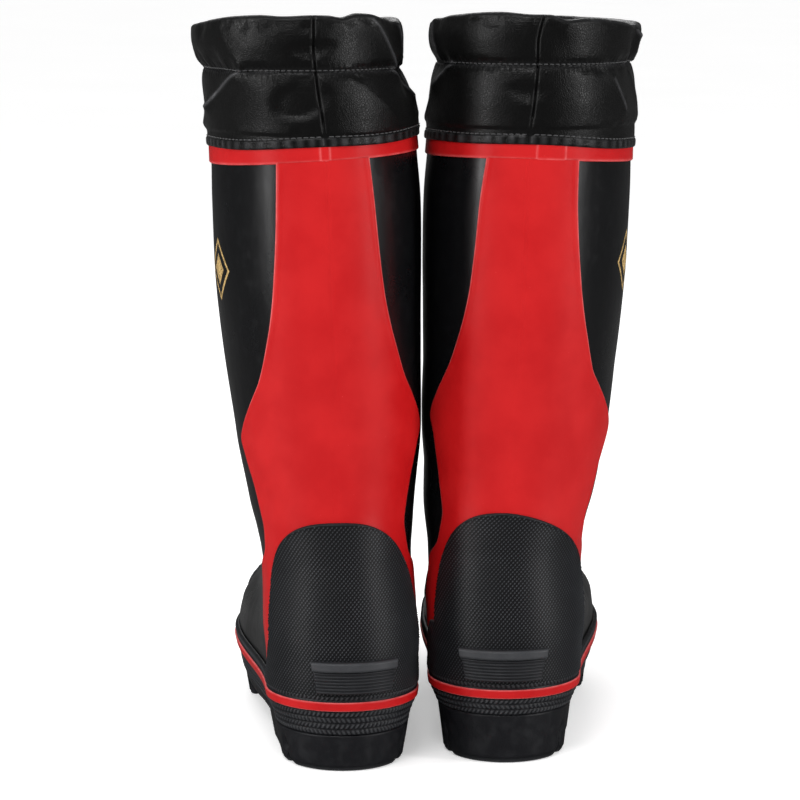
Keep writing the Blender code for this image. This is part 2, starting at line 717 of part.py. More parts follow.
def front_trim(start):
    """Keeps the part of the surface in front of a forward distance."""
    def trim(z, share):
        if FRONT_AT(z) <= start:
            return z, 1.0
        edge = share_at_forward(z, start)
        return z, min(max(share, edge), 2 - edge)
    return trim


def toe_guard(boot):
    patch(boot, "toe_guard", (42.0, 57.0, 70.0), FROM_FRONT,
          front_trim(TOE_GUARD_FROM), TOE_GUARD, black_rubber())


def steel_toe_cap(boot):
    patch(boot, "steel_toe_cap", (STIFFENER_LOW, 42.0, 57.0, 70.0, 84.0), FROM_FRONT,
          front_trim(TOE_CAP_FROM), STIFFENER, steel())


def heel_stiffener(boot):
    def trim(z, share):
        edge = share_at_angle(z, HEEL_STIFFENER_ANGLE)
        return z, min(max(share, -edge), edge)
    patch(boot, "heel_stiffener", (STIFFENER_LOW, 42.0, 57.0, 70.0, HEEL_STIFFENER_TOP),
          FROM_BACK, trim, STIFFENER, fibre_board())


def band(boot, name, heights, layer, finish):
    """A strip that runs right round the boot."""
    rings = [(z, layer[1]) for z in heights]
    rings += [(heights[-1], layer[0]), (heights[0], layer[0])]
    rings_body(boot, name, rings, finish)


def bands(boot):
    tape_low = ROWS[0] + 0.1
    band(boot, "foxing_tape", (tape_low, STRIPE_LOW, STRIPE_HIGH, FOXING_TOP), FOXING,
         sole_rubber())
    band(boot, "foxing_stripe", (STRIPE_LOW, STRIPE_HIGH), STRIPE, red_rubber())
    band(boot, "top_band", (BAND_LOW, UPPER_TOP), BAND, red_rubber())


def cuff_panel(boot):
    """The soft leather tube above the rubber, overlapping the top band."""
    rows = [CUFF_LOW, UPPER_TOP, 352.0, CUFF_TOP]
    rings = [(z, CUFF[1]) for z in rows] + [(z, CUFF[0]) for z in reversed(rows)]
    rings_body(boot, "cuff_panel", rings, black_leather())


def eyelet_place(side):
    """Centre and outward axis of an eyelet on the hem's front facet."""
    front_share = -side * ALL_ROUND[1]
    near, far = on_grid(EYELET_Z, 1, CUFF[1]), on_grid(EYELET_Z, front_share, CUFF[1])
    along = far - near
    place = near + along / 2
    middle_share = (front_share + side) / 2
    rise = on_grid(HEM_TOP, middle_share, CUFF[1]) - on_grid(HEM_BULGE, middle_share, CUFF[1])
    axis = np.cross(along, rise)
    axis *= math.copysign(1, axis[1])
    return place, axis / np.linalg.norm(axis)


def cuff_hem(boot, pivot):
    """The folded channel round the rim that holds the drawcord."""
    inner = HEM_INNER
    wall = HEM_WALL
    outside = [(HEM_LOW, CUFF[1]), (HEM_BULGE, CUFF[1]), (HEM_TOP, CUFF[1]),
               (HEM_TOP, inner), (HEM_BULGE, inner), (HEM_LOW, inner)]
    channel = [(HEM_LOW, inner + wall), (HEM_BULGE, inner + wall),
               (HEM_TOP - wall, inner + wall), (HEM_TOP - wall, CUFF[1] - wall),
               (HEM_BULGE, CUFF[1] - wall), (HEM_LOW, CUFF[1] - wall)]
    rings = outside + channel
    hem = rings_body(boot, "cuff_hem", rings, black_leather(), pivot)
    cutters = []
    for side in (1, -1):
        place, axis = eyelet_place(side)
        points, faces = solid_turned(((-2.5, EYELET_BARREL + GAP), (3, EYELET_BARREL + GAP)),
                                     12, place, axis)
        cutters.append(boot.add(f"eyelet_hole_{'outer' if side > 0 else 'inner'}",
                                points, faces, black_leather(), pivot))
    cut(hem, cutters)


def eyelets(boot, pivot):
    front = EYELET_FLANGE_THICKNESS + 0.35
    profile = ((-0.9, EYELET_BORE), (front, EYELET_BORE), (front, EYELET_FLANGE),
               (0.35, EYELET_FLANGE), (0.35, EYELET_BARREL), (-0.9, EYELET_BARREL))
    for side in (1, -1):
        place, axis = eyelet_place(side)
        points, faces = turned(profile, 12, place, axis)
        boot.add(f"eyelet_{'outer' if side > 0 else 'inner'}", points, faces, steel(), pivot)


def drawcord_loop(boot, pivot):
    """The cord inside the hem, from one eyelet round the back to the other."""
    path = []
    for side in (1, -1):
        place, axis = eyelet_place(side)
        run = [place + axis * 0.6, place - axis * (CUFF[1] - CORD_DEPTH - 1.2)]
        corner = place - axis * (CUFF[1] - CORD_DEPTH)
        run.append(corner + np.array([side * 1.2, 0, 0]))
        path.append(run)
    around = [on_grid(EYELET_Z, share, CORD_DEPTH) for share in reversed(ALL_ROUND[1:])]
    route = path[0] + around + list(reversed(path[1]))
    points, faces = sweep(route, [CORD_RADIUS] * len(route), 6)
    boot.add("drawcord_loop", points, faces, black_cord(), pivot)


def tail_start(side):
    """The middle of the rounded cord end in front of an eyelet."""
    place, axis = eyelet_place(side)
    start = place + axis * (EYELET_FLANGE_THICKNESS + 0.35 + CORD_RADIUS + 0.4)
    return start


def tail_forward():
    return float(on_grid(EYELET_Z, 1, CUFF[1])[1]) + TAIL_FORWARD


def tail_middle():
    return float(on_grid(EYELET_Z, 1, CUFF[1])[0])


def drawcord_tail(boot, pivot):
    """The two cord ends in front of the cuff, joined by a loop at the bottom."""
    forward, middle = tail_forward(), tail_middle()
    start = tail_start(1)
    half = []
    end_steps = 3
    for i in range(end_steps):
        turn = math.radians(15 + 75 * i / end_steps)
        half.append((start + np.array([0, -CORD_RADIUS * math.cos(turn), 0]),
                     CORD_RADIUS * math.sin(turn)))
    half.append((start, CORD_RADIUS))
    reach = forward - start[1]
    bend_steps = 5
    for i in range(1, bend_steps + 1):
        turn = math.pi / 2 * i / bend_steps
        drift = (i / bend_steps) * 0.35
        x = start[0] + (middle + TAIL_HALF_PITCH - start[0]) * drift
        half.append((np.array([x, start[1] + reach * math.sin(turn),
                               start[2] - reach * (1 - math.cos(turn))]), CORD_RADIUS))
    straight_from = start[2] - reach - 9.0
    half.append((np.array([middle + TAIL_HALF_PITCH, forward, straight_from]), CORD_RADIUS))
    half.append((np.array([middle + TAIL_HALF_PITCH, forward, TAIL_BOTTOM + 6]), CORD_RADIUS))
    turn_steps = 6
    bottom = []
    for i in range(1, turn_steps):
        turn = math.pi * i / turn_steps
        bottom.append((np.array([middle + TAIL_HALF_PITCH * math.cos(turn), forward,
                                 TAIL_BOTTOM + 6 - TAIL_HALF_PITCH * math.sin(turn)]),
                       CORD_RADIUS))
    mirrored = [(np.array([2 * middle - p[0], p[1], p[2]]), r) for p, r in reversed(half)]
    route = half + bottom + mirrored
    points, faces = sweep([p for p, _ in route], [r for _, r in route], 6)
    boot.add("drawcord_tail", points, faces, black_cord(), pivot)


def cord_lock(boot, body_pivot, button_pivot):
    """A moulded body on both cords, with a spring-loaded button on its outer side."""
    middle, forward = tail_middle(), tail_forward()
    centre = np.array([middle, forward, LOCK_Z])
    low, high, depth, height = LOCK_BODY
    shape, corner = [], 3.0
    for i in range(16):
        turn = 2 * math.pi * (i + 0.5) / 16
        u = math.copysign(depth / 2 - corner, math.cos(turn)) + corner * math.cos(turn)
        z = math.copysign(height / 2 - corner, math.sin(turn)) + corner * math.sin(turn)
        shape.append((u, z))
    points = [centre + np.array([x, u, z]) for x in (low, high) for u, z in shape]
    faces = grid_faces(2, 16) + [tuple(range(16)), tuple(range(16, 32))]
    body = boot.add("cord_lock_body", points, faces, black_plastic(), body_pivot)
    bore = boot.add("cord_lock_bore", *solid_turned(
        ((LOCK_BORE_END, LOCK_BORE), (high + 5, LOCK_BORE)), 16, centre, (1, 0, 0)),
        black_plastic(), body_pivot)
    width, half_depth = LOCK_SLOT
    slot_box = box_points((middle - width, middle + width),
                          (forward - half_depth, forward + half_depth),
                          (LOCK_Z - height, LOCK_Z + height))
    slot = boot.add("cord_lock_slot", *slot_box, black_plastic(), body_pivot)
    cut(body, [bore, slot])

    cap_from, cap_to, cap_radius = PLUNGER_CAP
    profile = ((PLUNGER[0], PLUNGER_RADIUS), (PLUNGER[1], PLUNGER_RADIUS),
               (cap_from, cap_radius), (cap_to - 0.6, cap_radius), (cap_to, cap_radius - 0.8))
    button = boot.add("cord_lock_button", *solid_turned(profile, 16, centre, (1, 0, 0)),
                      black_plastic(), button_pivot)
    window = box_points((middle - width, middle + width + BUTTON_TRAVEL),
                        (forward - half_depth, forward + half_depth),
                        (LOCK_Z - height, LOCK_Z + height))
    opening = boot.add("cord_lock_window", *window, black_plastic(), button_pivot)
    cut(button, [opening])

    first, last = LOCK_BORE_END + 0.3 + SPRING_WIRE, PLUNGER[0] - 0.3 - SPRING_WIRE
    steps = 8 * SPRING_TURNS
    path = []
    for i in range(steps + 1):
        turn = 2 * math.pi * i / 8
        path.append(centre + np.array([first + (last - first) * i / steps,
                                       SPRING_RADIUS * math.cos(turn),
                                       SPRING_RADIUS * math.sin(turn)]))
    points, faces = sweep(path, [SPRING_WIRE] * len(path), 4)
    boot.add("cord_lock_spring", points, faces, steel(), body_pivot)


def cuff_and_cord(boot):
    """The cuff's moving pieces, each with its parent empty on its joint's axis."""
    front, middle, forward = tail_start(1), tail_middle(), tail_forward()
    cuff = boot.pivot("cuff_drop_axis", (middle, 70.0, HEM_LOW))
    cord = boot.pivot("cord_swing_axis", (middle, front[1], front[2]), cuff, EYELET_Z)
    lock = boot.pivot("lock_slide_axis", (middle, forward, LOCK_Z), cord, EYELET_Z)
    button = boot.pivot("button_press_axis", (middle + PLUNGER_CAP[1], forward, LOCK_Z),
                        lock, EYELET_Z)
    cuff_hem(boot, cuff)
    eyelets(boot, cuff)
    drawcord_loop(boot, cuff)
    drawcord_tail(boot, cord)
    cord_lock(boot, lock, button)


def build_boot(name, place):
    boot = Boot(name, place)
    outsole(boot)
    bottom_layers(boot)
    lining(boot)
    rubber_upper(boot)
    red_back_panel(boot)
    heel_counter(boot)
    kick_off_spur(boot)
    toe_guard(boot)
    steel_toe_cap(boot)
    heel_stiffener(boot)
    bands(boot)
    cuff_panel(boot)
    cuff_and_cord(boot)
    return boot


def centre_on_floor(boots):
    """Moves both boots so that their bounding box is centred on the origin."""
    bpy.context.view_layer.update()
    corners = [body.matrix_world @ vertex.co for body in bpy.data.objects
               if body.type == "MESH" and not body.hide_render for vertex in body.data.vertices]
    middle = [(min(c[i] for c in corners) + max(c[i] for c in corners)) / 2 for i in range(2)]
    lowest = min(c[2] for c in corners)
    for boot in boots:
        boot.empty.location -= Vector((middle[0], middle[1], lowest))
    bpy.context.view_layer.update()


for old in list(bpy.data.objects):
    bpy.data.objects.remove(old)
PAIR = [build_boot("left", (HEEL_SPACING / 2, 0.0, 0.0)),
        build_boot("right", (-HEEL_SPACING / 2, -RIGHT_BOOT_FORWARD, 0.0))]
centre_on_floor(PAIR)
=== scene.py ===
"""The looks of a pair of fire boots, standing on a pale floor, seen from behind.

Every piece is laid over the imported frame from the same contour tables, in
millimetres, so that fine rubber, leather, cord and steel stand exactly where
the frame's parts are. Points are placed by height z and by share, which runs
0 at the back of a boot to +1 at its front along the outer side, and 0 to -1
along the inner side.
"""

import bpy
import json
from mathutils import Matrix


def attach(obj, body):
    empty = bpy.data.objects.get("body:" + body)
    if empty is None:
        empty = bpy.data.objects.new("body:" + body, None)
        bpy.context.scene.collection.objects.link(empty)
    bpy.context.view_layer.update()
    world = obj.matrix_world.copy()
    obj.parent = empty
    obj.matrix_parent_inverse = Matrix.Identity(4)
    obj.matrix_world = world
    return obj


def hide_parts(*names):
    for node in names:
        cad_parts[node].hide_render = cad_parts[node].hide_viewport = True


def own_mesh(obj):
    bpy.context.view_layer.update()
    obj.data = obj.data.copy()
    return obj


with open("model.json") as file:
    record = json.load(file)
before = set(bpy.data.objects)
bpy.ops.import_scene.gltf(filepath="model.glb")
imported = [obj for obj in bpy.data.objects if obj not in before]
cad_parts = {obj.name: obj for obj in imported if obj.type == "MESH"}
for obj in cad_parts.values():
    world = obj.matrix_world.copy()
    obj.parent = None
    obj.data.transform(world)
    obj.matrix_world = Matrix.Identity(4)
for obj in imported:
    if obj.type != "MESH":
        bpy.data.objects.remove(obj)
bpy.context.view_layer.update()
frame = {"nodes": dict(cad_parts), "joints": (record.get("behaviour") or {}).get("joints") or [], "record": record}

import json
import math

import bpy
import numpy as np
from mathutils import Vector

MM = 0.001

# ---------------------------------------------------------------- dimensions
SIDE = {"left": 1, "right": -1}
SHAFT_TWIST = {"left": 2.7, "right": 0.0}
CUFF_LEAN = {"left": 3.0, "right": -3.0}
HEEL_RISE = {"left": -1.3, "right": 1.3}
SHAFT_AXIS_FORWARD = 71.0
TWIST_RANGE = (140.0, 220.0)
CUFF_LEAN_RANGE = (342.0, 384.0)
ANKLE_FULLNESS = {"left": ((55, 0), (72, 1.3), (98, 1.4), (120, 0.5), (140, 0)),
                  "right": ((50, 0.3), (72, 2.2), (98, 2.6), (125, 2.6), (144, 1.7),
                            (152, 1.1), (178, 0.9), (205, 0))}
ANKLE_SHIFT = {"left": ((60, 0), (80, 0.4), (120, 0.8), (150, 0.6), (175, 0)),
               "right": ((70, 0), (95, -1.0), (125, -1.3), (150, -0.3), (175, 0))}
PANEL_TURN = {"left": ((42, 0), (72, 2.5), (127, 3.2), (152, 3), (175, 1.5), (205, 0),
                       (285, 0.9), (322, 1.5)),
              "right": ((42, 2), (72, 9), (127, 10.5), (152, 8.6), (172, 9.3), (186, 6),
                        (195, 3.4), (207, 1.2), (290, 1.2), (322, 2.4))}
MOUNT_FORWARD = 15.0        # from the heel's back to the heel tread mount

HEEL_BLOCK_TOP = 16.5
SOLE_TOP = {"left": 21.3, "right": 25.4}   # where the foxing begins
FOXING_TOP = 43.6
STRIPE_LOW, STRIPE_HIGH = 34.5, 39.4
BAND_EDGE = {"left": (321.9, 3.75, 0.75), "right": (319.1, 1.7, 2.4)}
UPPER_LOW, UPPER_TOP = 17.0, 334.0
BAND_LOW, BAND_TOP = 321.3, UPPER_TOP - 1.6
PANEL_LOW, PANEL_TOP = 42.0, 321.0
CUFF_LOW, HEM_LOW = 331.0, 369.0

UPPER = (-2.4, 0.0)
PANEL_FACE = 1.5
COUNTER_FACE = 3.0
FOXING = (0.4, 2.4)
STRIPE = (2.5, 3.5)
BAND = (0.4, 1.2)
CUFF = (1.6, 2.4)
HEM_INNER = -4.3
TOE_GUARD_FACE = 2.4
LINING = (-7.8, -6.5)
OUTSOLE_EDGE, OUTSOLE_TAPER = 2.2, 3.4
SPUR_LOW, SPUR_HIGH, SPUR_WIDTH, SPUR_DEPTH = 43.8, 60.0, 41.5, 5.5
SPUR_TURN = {"left": -6.3, "right": 0.0}

# ------------------------------------------------------- the boot's contours
BACK = ((16, 3), (45, 0), (60, 1), (75, 3), (90, 5.5), (110, 9), (135, 12),
        (180, 9), (240, 4), (330, 2), (400, 3))
FRONT = ((16, 287), (30, 290), (45, 291), (60, 285), (75, 262), (90, 225), (110, 180),
         (135, 152), (180, 142), (240, 141), (330, 141), (352, 138),
         (368, 135), (384, 140), (400, 138))
BACK_ROUND_END = ((16, 42), (45, 44), (60, 46), (75, 50), (90, 56), (110, 66),
                  (135, 69), (180, 71), (240, 72), (400, 71))
FRONT_ROUND_START = ((16, 190), (45, 190), (60, 183), (75, 163), (90, 130),
                     (110, 100), (135, 82), (180, 76), (240, 74), (400, 72.5))
SHAFT_HALF_WIDTH = ((105, 38.9), (120, 41.6), (133, 44.2), (149, 46.9), (166, 49.6),
                    (182, 51.0), (199, 52.3), (231, 54.5), (264, 56.1), (297, 56.6),
                    (320, 55.9), (332, 55.6), (341, 54.7), (359, 53.4), (368, 52.2),
                    (376, 54.0), (386, 54.8), (400, 53.6))
BACK_HALF_WIDTH = ((16, 33.2), (25, 33.8), (29, 35.0), (34, 37.0), (45, 38.2),
                   (75, 38.2), (90, 38.0)) + SHAFT_HALF_WIDTH
FRONT_HALF_WIDTH = ((16, 45.8), (30, 48.3), (45, 51.0), (57, 49.0), (75, 38.4),
                    (90, 36.5)) + SHAFT_HALF_WIDTH
FRONT_SQUARENESS = ((16, 2.4), (75, 2.3), (120, 2.0), (400, 2.0))
OUTWARD_LEAN = ((16, 0), (95, 0.5), (120, 2.0), (133, 3.4), (150, 4.5), (182, 6.5),
                (215, 9.0), (248, 10.9), (297, 12.5), (330, 14.3), (350, 15.8),
                (368, 18.3), (386, 20.0), (400, 20.8))
TOE_INWARD, TOE_INWARD_FROM = 6.0, 190.0
INNER_NARROWING = 0.09
SOLE_DROP = ((0, 0), (60, 0), (120, -0.6), (190, -1.0), (240, -0.4), (292, 4))
FADE = (60.0, 140.0)

SIDE_STEP = 0.8
PANEL_EDGE = ((42, 106), (72, 102), (80, 95), (92, 86), (103, 78), (111, 66), (119, 61),
              (127, 58), (135, 59.5), (151, 63.5), (160, 66), (170, 69.5), (177, 66),
              (186, 59.5), (195, 53), (204, 47), (221, 40), (237, 35), (253, 31.7),
              (285, 28.2), (322, 26))
# How far the panel's shoulders sit above the table: place, reach and lift.
SHOULDER_LIFT = {"left": ((147, 16, 9), (172, 28, 8)), "right": ((147, 16, 0), (172, 28, 8))}
# The heel counter's arch runs from its peak down to its low edge: on the inner side, then
# on the outer one, the angle round the heel that it spans and the two powers that round it.
COUNTER_ARCH = {"left": (131.0, (89.0, 2.55, 1.0), (70.5, 2.5, 2.5)),
                "right": (130.5, (63.5, 2.7, 1.7), (92.0, 1.5, 2.8))}
COUNTER_LOW, COUNTER_REACH = 42.0, 92.0
SKIRT_SLOPE, SKIRT_TOP = 1.1, 28.0         # the low skirt beside the arch


def smooth_curve(pairs):
    """A monotone cubic through (place, value) pairs, for arrays of places."""
    x, y = (np.array(v, float) for v in zip(*pairs))
    step = np.diff(x)
    rise = np.diff(y) / step
    slope = np.zeros_like(x)
    slope[0], slope[-1] = rise[0], rise[-1]
    for i in range(1, len(x) - 1):
        if rise[i - 1] * rise[i] > 0:
            near, far = 2 * step[i] + step[i - 1], step[i] + 2 * step[i - 1]
            slope[i] = (near + far) / (near / rise[i - 1] + far / rise[i])

    def value(at):
        at = np.clip(np.asarray(at, float), x[0], x[-1])
        i = np.clip(np.searchsorted(x, at, side="right") - 1, 0, len(step) - 1)
        t = (at - x[i]) / step[i]
        rising = t * t * (3 - 2 * t)
        return (y[i] * (1 - rising) + y[i + 1] * rising
                + step[i] * t * (1 - t) * ((1 - t) * slope[i] - t * slope[i + 1]))
    return value


def smooth_step(value, low, high):
    t = np.clip((value - low) / (high - low), 0.0, 1.0)
    return t * t * (3 - 2 * t)


def bump(value, centre, half_width):
    """A soft hill of height 1."""
    return np.exp(-((value - centre) / half_width) ** 2)


def wrapped(share):
    return (share + 1) % 2 - 1


CURVES = [smooth_curve(t) for t in (BACK, FRONT, BACK_ROUND_END, FRONT_ROUND_START,
                                    BACK_HALF_WIDTH, FRONT_HALF_WIDTH, FRONT_SQUARENESS)]
LEAN_AT, DROP_AT = smooth_curve(OUTWARD_LEAN), smooth_curve(SOLE_DROP)
BACK_WIDTH_AT, PANEL_ANGLE = CURVES[4], smooth_curve(PANEL_EDGE)
CONTOUR_POINTS = 120


def contour(z):
    """Sideways offset, forward distance, angle and share along one side at height z."""
    back, front, back_end, front_start, back_width, front_width, square = (c(z) for c in CURVES)
    turn = np.linspace(0, math.pi / 2, CONTOUR_POINTS)
    along = np.linspace(0, 1, CONTOUR_POINTS)[1:]
    power = 2 / square
    front_turn = turn[1:]
    u = np.concatenate([back_end - (back_end - back) * np.cos(turn),
                        back_end + (front_start - back_end) * along,
                        front_start + (front - front_start) * np.sin(front_turn) ** power])
    w_front = front_width * np.maximum(np.cos(front_turn), 0) ** power
    w_front[-1] = 0.0
    w = np.concatenate([back_width * np.sin(turn),
                        back_width + (front_width - back_width) * along ** 2 * (3 - 2 * along),
                        w_front])
    angle = np.concatenate([np.degrees(turn), 90 + (u[CONTOUR_POINTS:] - back_end) / SIDE_STEP])
    length = np.concatenate([[0], np.cumsum(np.hypot(np.diff(u), np.diff(w)))])
    return w, u, angle, length / length[-1], length[-1]


# The surface is sampled once on a fine grid of heights and shares.
TABLE_Z = np.arange(12.0, 402.5, 1.0)
TABLE_SHARE = np.linspace(-1, 1, 961)
TABLE_ANGLE = np.arange(0.0, 121.0, 1.0)
SPACE, SHARE_OF_ANGLE, HALF_LENGTH = [], [], []
for table_z in TABLE_Z:
    w, u, angle, share, half_length = contour(table_z)
    forward = np.interp(abs(TABLE_SHARE), share, u)
    out = np.sign(TABLE_SHARE) * np.interp(abs(TABLE_SHARE), share, w)
    low_part = smooth_step(-table_z, -120, -60)
    inner = np.where(TABLE_SHARE < 0, INNER_NARROWING * smooth_step(forward, 50, 110), 0)
    inward = TOE_INWARD * smooth_step(forward, TOE_INWARD_FROM, 290) * low_part
    out = out * (1 - inner * low_part) + LEAN_AT(table_z) - inward
    SPACE.append(np.stack([out, forward, np.full_like(out, table_z)], axis=1))
    SHARE_OF_ANGLE.append(np.interp(TABLE_ANGLE, angle, share))
    HALF_LENGTH.append(half_length)
SPACE, SHARE_OF_ANGLE, HALF_LENGTH = map(np.array, (SPACE, SHARE_OF_ANGLE, HALF_LENGTH))
ROUND = SPACE[:, :-1]
AROUND = np.roll(ROUND, -1, axis=1) - np.roll(ROUND, 1, axis=1)
NORMAL = np.cross(AROUND, np.gradient(ROUND, axis=0))
NORMAL /= np.linalg.norm(NORMAL, axis=2, keepdims=True)
NORMAL = np.concatenate([NORMAL, NORMAL[:, :1]], axis=1)


def sampled(table, first, second):
    """Reads a table between its grid points; first and second are in grid steps."""
    first = np.clip(first, 0, table.shape[0] - 1.001)
    second = np.clip(second, 0, table.shape[1] - 1.001)
    i, j = first.astype(int), second.astype(int)
    s, t = first - i, second - j
    if table.ndim == 3:
        s, t = s[..., None], t[..., None]
    return ((table[i, j] * (1 - t) + table[i, j + 1] * t) * (1 - s)
            + (table[i + 1, j] * (1 - t) + table[i + 1, j + 1] * t) * s)


def share_at_angle(z, angle):
    """Shares for angles round the back of a boot, positive or negative."""
    rows = np.asarray(z, float) - TABLE_Z[0]
    return np.sign(angle) * sampled(SHARE_OF_ANGLE, rows, abs(np.asarray(angle, float)))


def half_length(z):
    return np.interp(z, TABLE_Z, HALF_LENGTH)


def share_at_forward(z, forward):
    _, u, _, share, _ = contour(z)
    return float(np.interp(forward, u, share))


# -------------------------------------------------------------- mesh building
def facing_out(points, quads):
    """The quads of a closed shape, turned round if they face into it."""
    a, b, c, d = (points[quads[:, k]] for k in range(4))
    volume = np.sum(a * (np.cross(b, c) + np.cross(c, d)))
    return quads if volume >= 0 else quads[:, ::-1]


def build(name, points, quads, finish, sheet=None, wear=None):
    """A smooth-shaded mesh in the frame's own axes, from points in metres."""
    mesh = bpy.data.meshes.new(name)
    points = np.asarray(points, float).reshape(-1, 3)
    quads = facing_out(points - points.mean(axis=0), np.asarray(quads))
    quads = np.ascontiguousarray(quads, dtype=np.int32)
    points = np.ascontiguousarray(points, dtype=np.float32)
    mesh.vertices.add(len(points))
    mesh.vertices.foreach_set("co", points.ravel())
    mesh.loops.add(quads.size)
    mesh.loops.foreach_set("vertex_index", quads.ravel())
    mesh.polygons.add(len(quads))
    mesh.polygons.foreach_set("loop_start", np.arange(0, quads.size, 4, dtype=np.int32))
    mesh.update(calc_edges=True)
    if sheet is not None:
        layer = mesh.uv_layers.new(name="sheet")
        layer.data.foreach_set("uv", np.asarray(sheet, np.float32)[quads.ravel()].ravel())
    # wear is a per-point share of each finish's paler colour: painted highlight along the red pieces' edges, on
    # the knurl peaks, the kick ledge and the cuff's crests, rim and puckers; elsewhere it only makes raised parts
    # or the ground edge paler.
    if wear is not None:
        mesh.attributes.new("wear", "FLOAT", "POINT").data.foreach_set(
            "value", np.asarray(wear, np.float32).ravel())
    mesh.validate()
    mesh.materials.append(finish)
    mesh.shade_smooth()
    made = bpy.data.objects.new(name, mesh)
    bpy.context.scene.collection.objects.link(made)
    return made


def grid_quads(rows, columns, wrap_rows=False, wrap_columns=False):
    """The quads between neighbours in a grid of points."""
    i = np.arange(rows if wrap_rows else rows - 1)[:, None]
    k = np.arange(columns if wrap_columns else columns - 1)[None, :]
    below, after = (i + 1) % rows, (k + 1) % columns
    a = i * columns + k
    quads = np.stack(np.broadcast_arrays(a, i * columns + after, below * columns + after,
                                         below * columns + k), axis=-1)
    return quads.reshape(-1, 4)


def joined(parts):
    """Joins (points, quads) pairs into one."""
    points, quads, first = [], [], 0
    for p, q in parts:
        points.append(p.reshape(-1, 3))
        quads.append(q + first)
        first += p.reshape(-1, 3).shape[0]
    return np.concatenate(points), np.concatenate(quads)


def tube(path, radii, sides):
    """A round bar along a path of points, as (points, quads), in the path's units."""
    path = np.asarray(path, float)
    along = np.gradient(path, axis=0)
    along /= np.linalg.norm(along, axis=1, keepdims=True)
    across = np.zeros_like(path)
    last = np.array([0.31, 0.87, 0.38])
    for i, a in enumerate(along):
        last = last - np.dot(last, a) * a
        last /= np.linalg.norm(last)
        across[i] = last
    other = np.cross(along, across)
    turn = np.linspace(0, 2 * math.pi, sides, endpoint=False)
    size = np.broadcast_to(np.asarray(radii, float).T, (sides, len(path))).T[..., None]
    points = path[:, None, :] + size * (np.cos(turn)[None, :, None] * across[:, None, :]
                                        + np.sin(turn)[None, :, None] * other[:, None, :])
    points = np.concatenate([np.repeat(path[:1, None, :], sides, 1), points,
                             np.repeat(path[-1:, None, :], sides, 1)])
    return points, grid_quads(points.shape[0], sides, wrap_columns=True)


def turned(profile, sides, place, axis):
    """A ring turned round an axis from the (along, radius) pairs of its section."""
    axis = np.asarray(axis, float) / np.linalg.norm(axis)
    across = np.cross(axis, (0.0, 0.0, 1.0))
    if np.linalg.norm(across) < 0.1:
        across = np.array([1.0, 0.0, 0.0])
    across /= np.linalg.norm(across)
    other = np.cross(axis, across)
    turn = np.linspace(0, 2 * math.pi, sides, endpoint=False)
    along, radius = np.array(profile, float).T
    points = (np.asarray(place, float) + along[:, None, None] * axis
              + radius[:, None, None] * (np.cos(turn)[None, :, None] * across
                                         + np.sin(turn)[None, :, None] * other))
    return points, grid_quads(len(profile), sides, wrap_rows=True, wrap_columns=True)


def rounded_profile(corners, radius, steps=5):
    """An open profile of (along, radius) with its inner corners rounded."""
    corners = [np.array(c, float) for c in corners]
    made = [corners[0]]
    for before, corner, after in zip(corners, corners[1:], corners[2:]):
        back, ahead = before - corner, after - corner
        reach = min(radius, 0.45 * np.linalg.norm(back), 0.45 * np.linalg.norm(ahead))
        start = corner + back / np.linalg.norm(back) * reach
        end = corner + ahead / np.linalg.norm(ahead) * reach
        for t in np.linspace(0, 1, steps):
            made.append((1 - t) ** 2 * start + 2 * t * (1 - t) * corner + t * t * end)
    return made + [corners[-1]]


# ----------------------------------------------------------------- materials
SHINE, NOISE_ROUGHNESS = 0.26, 0.55


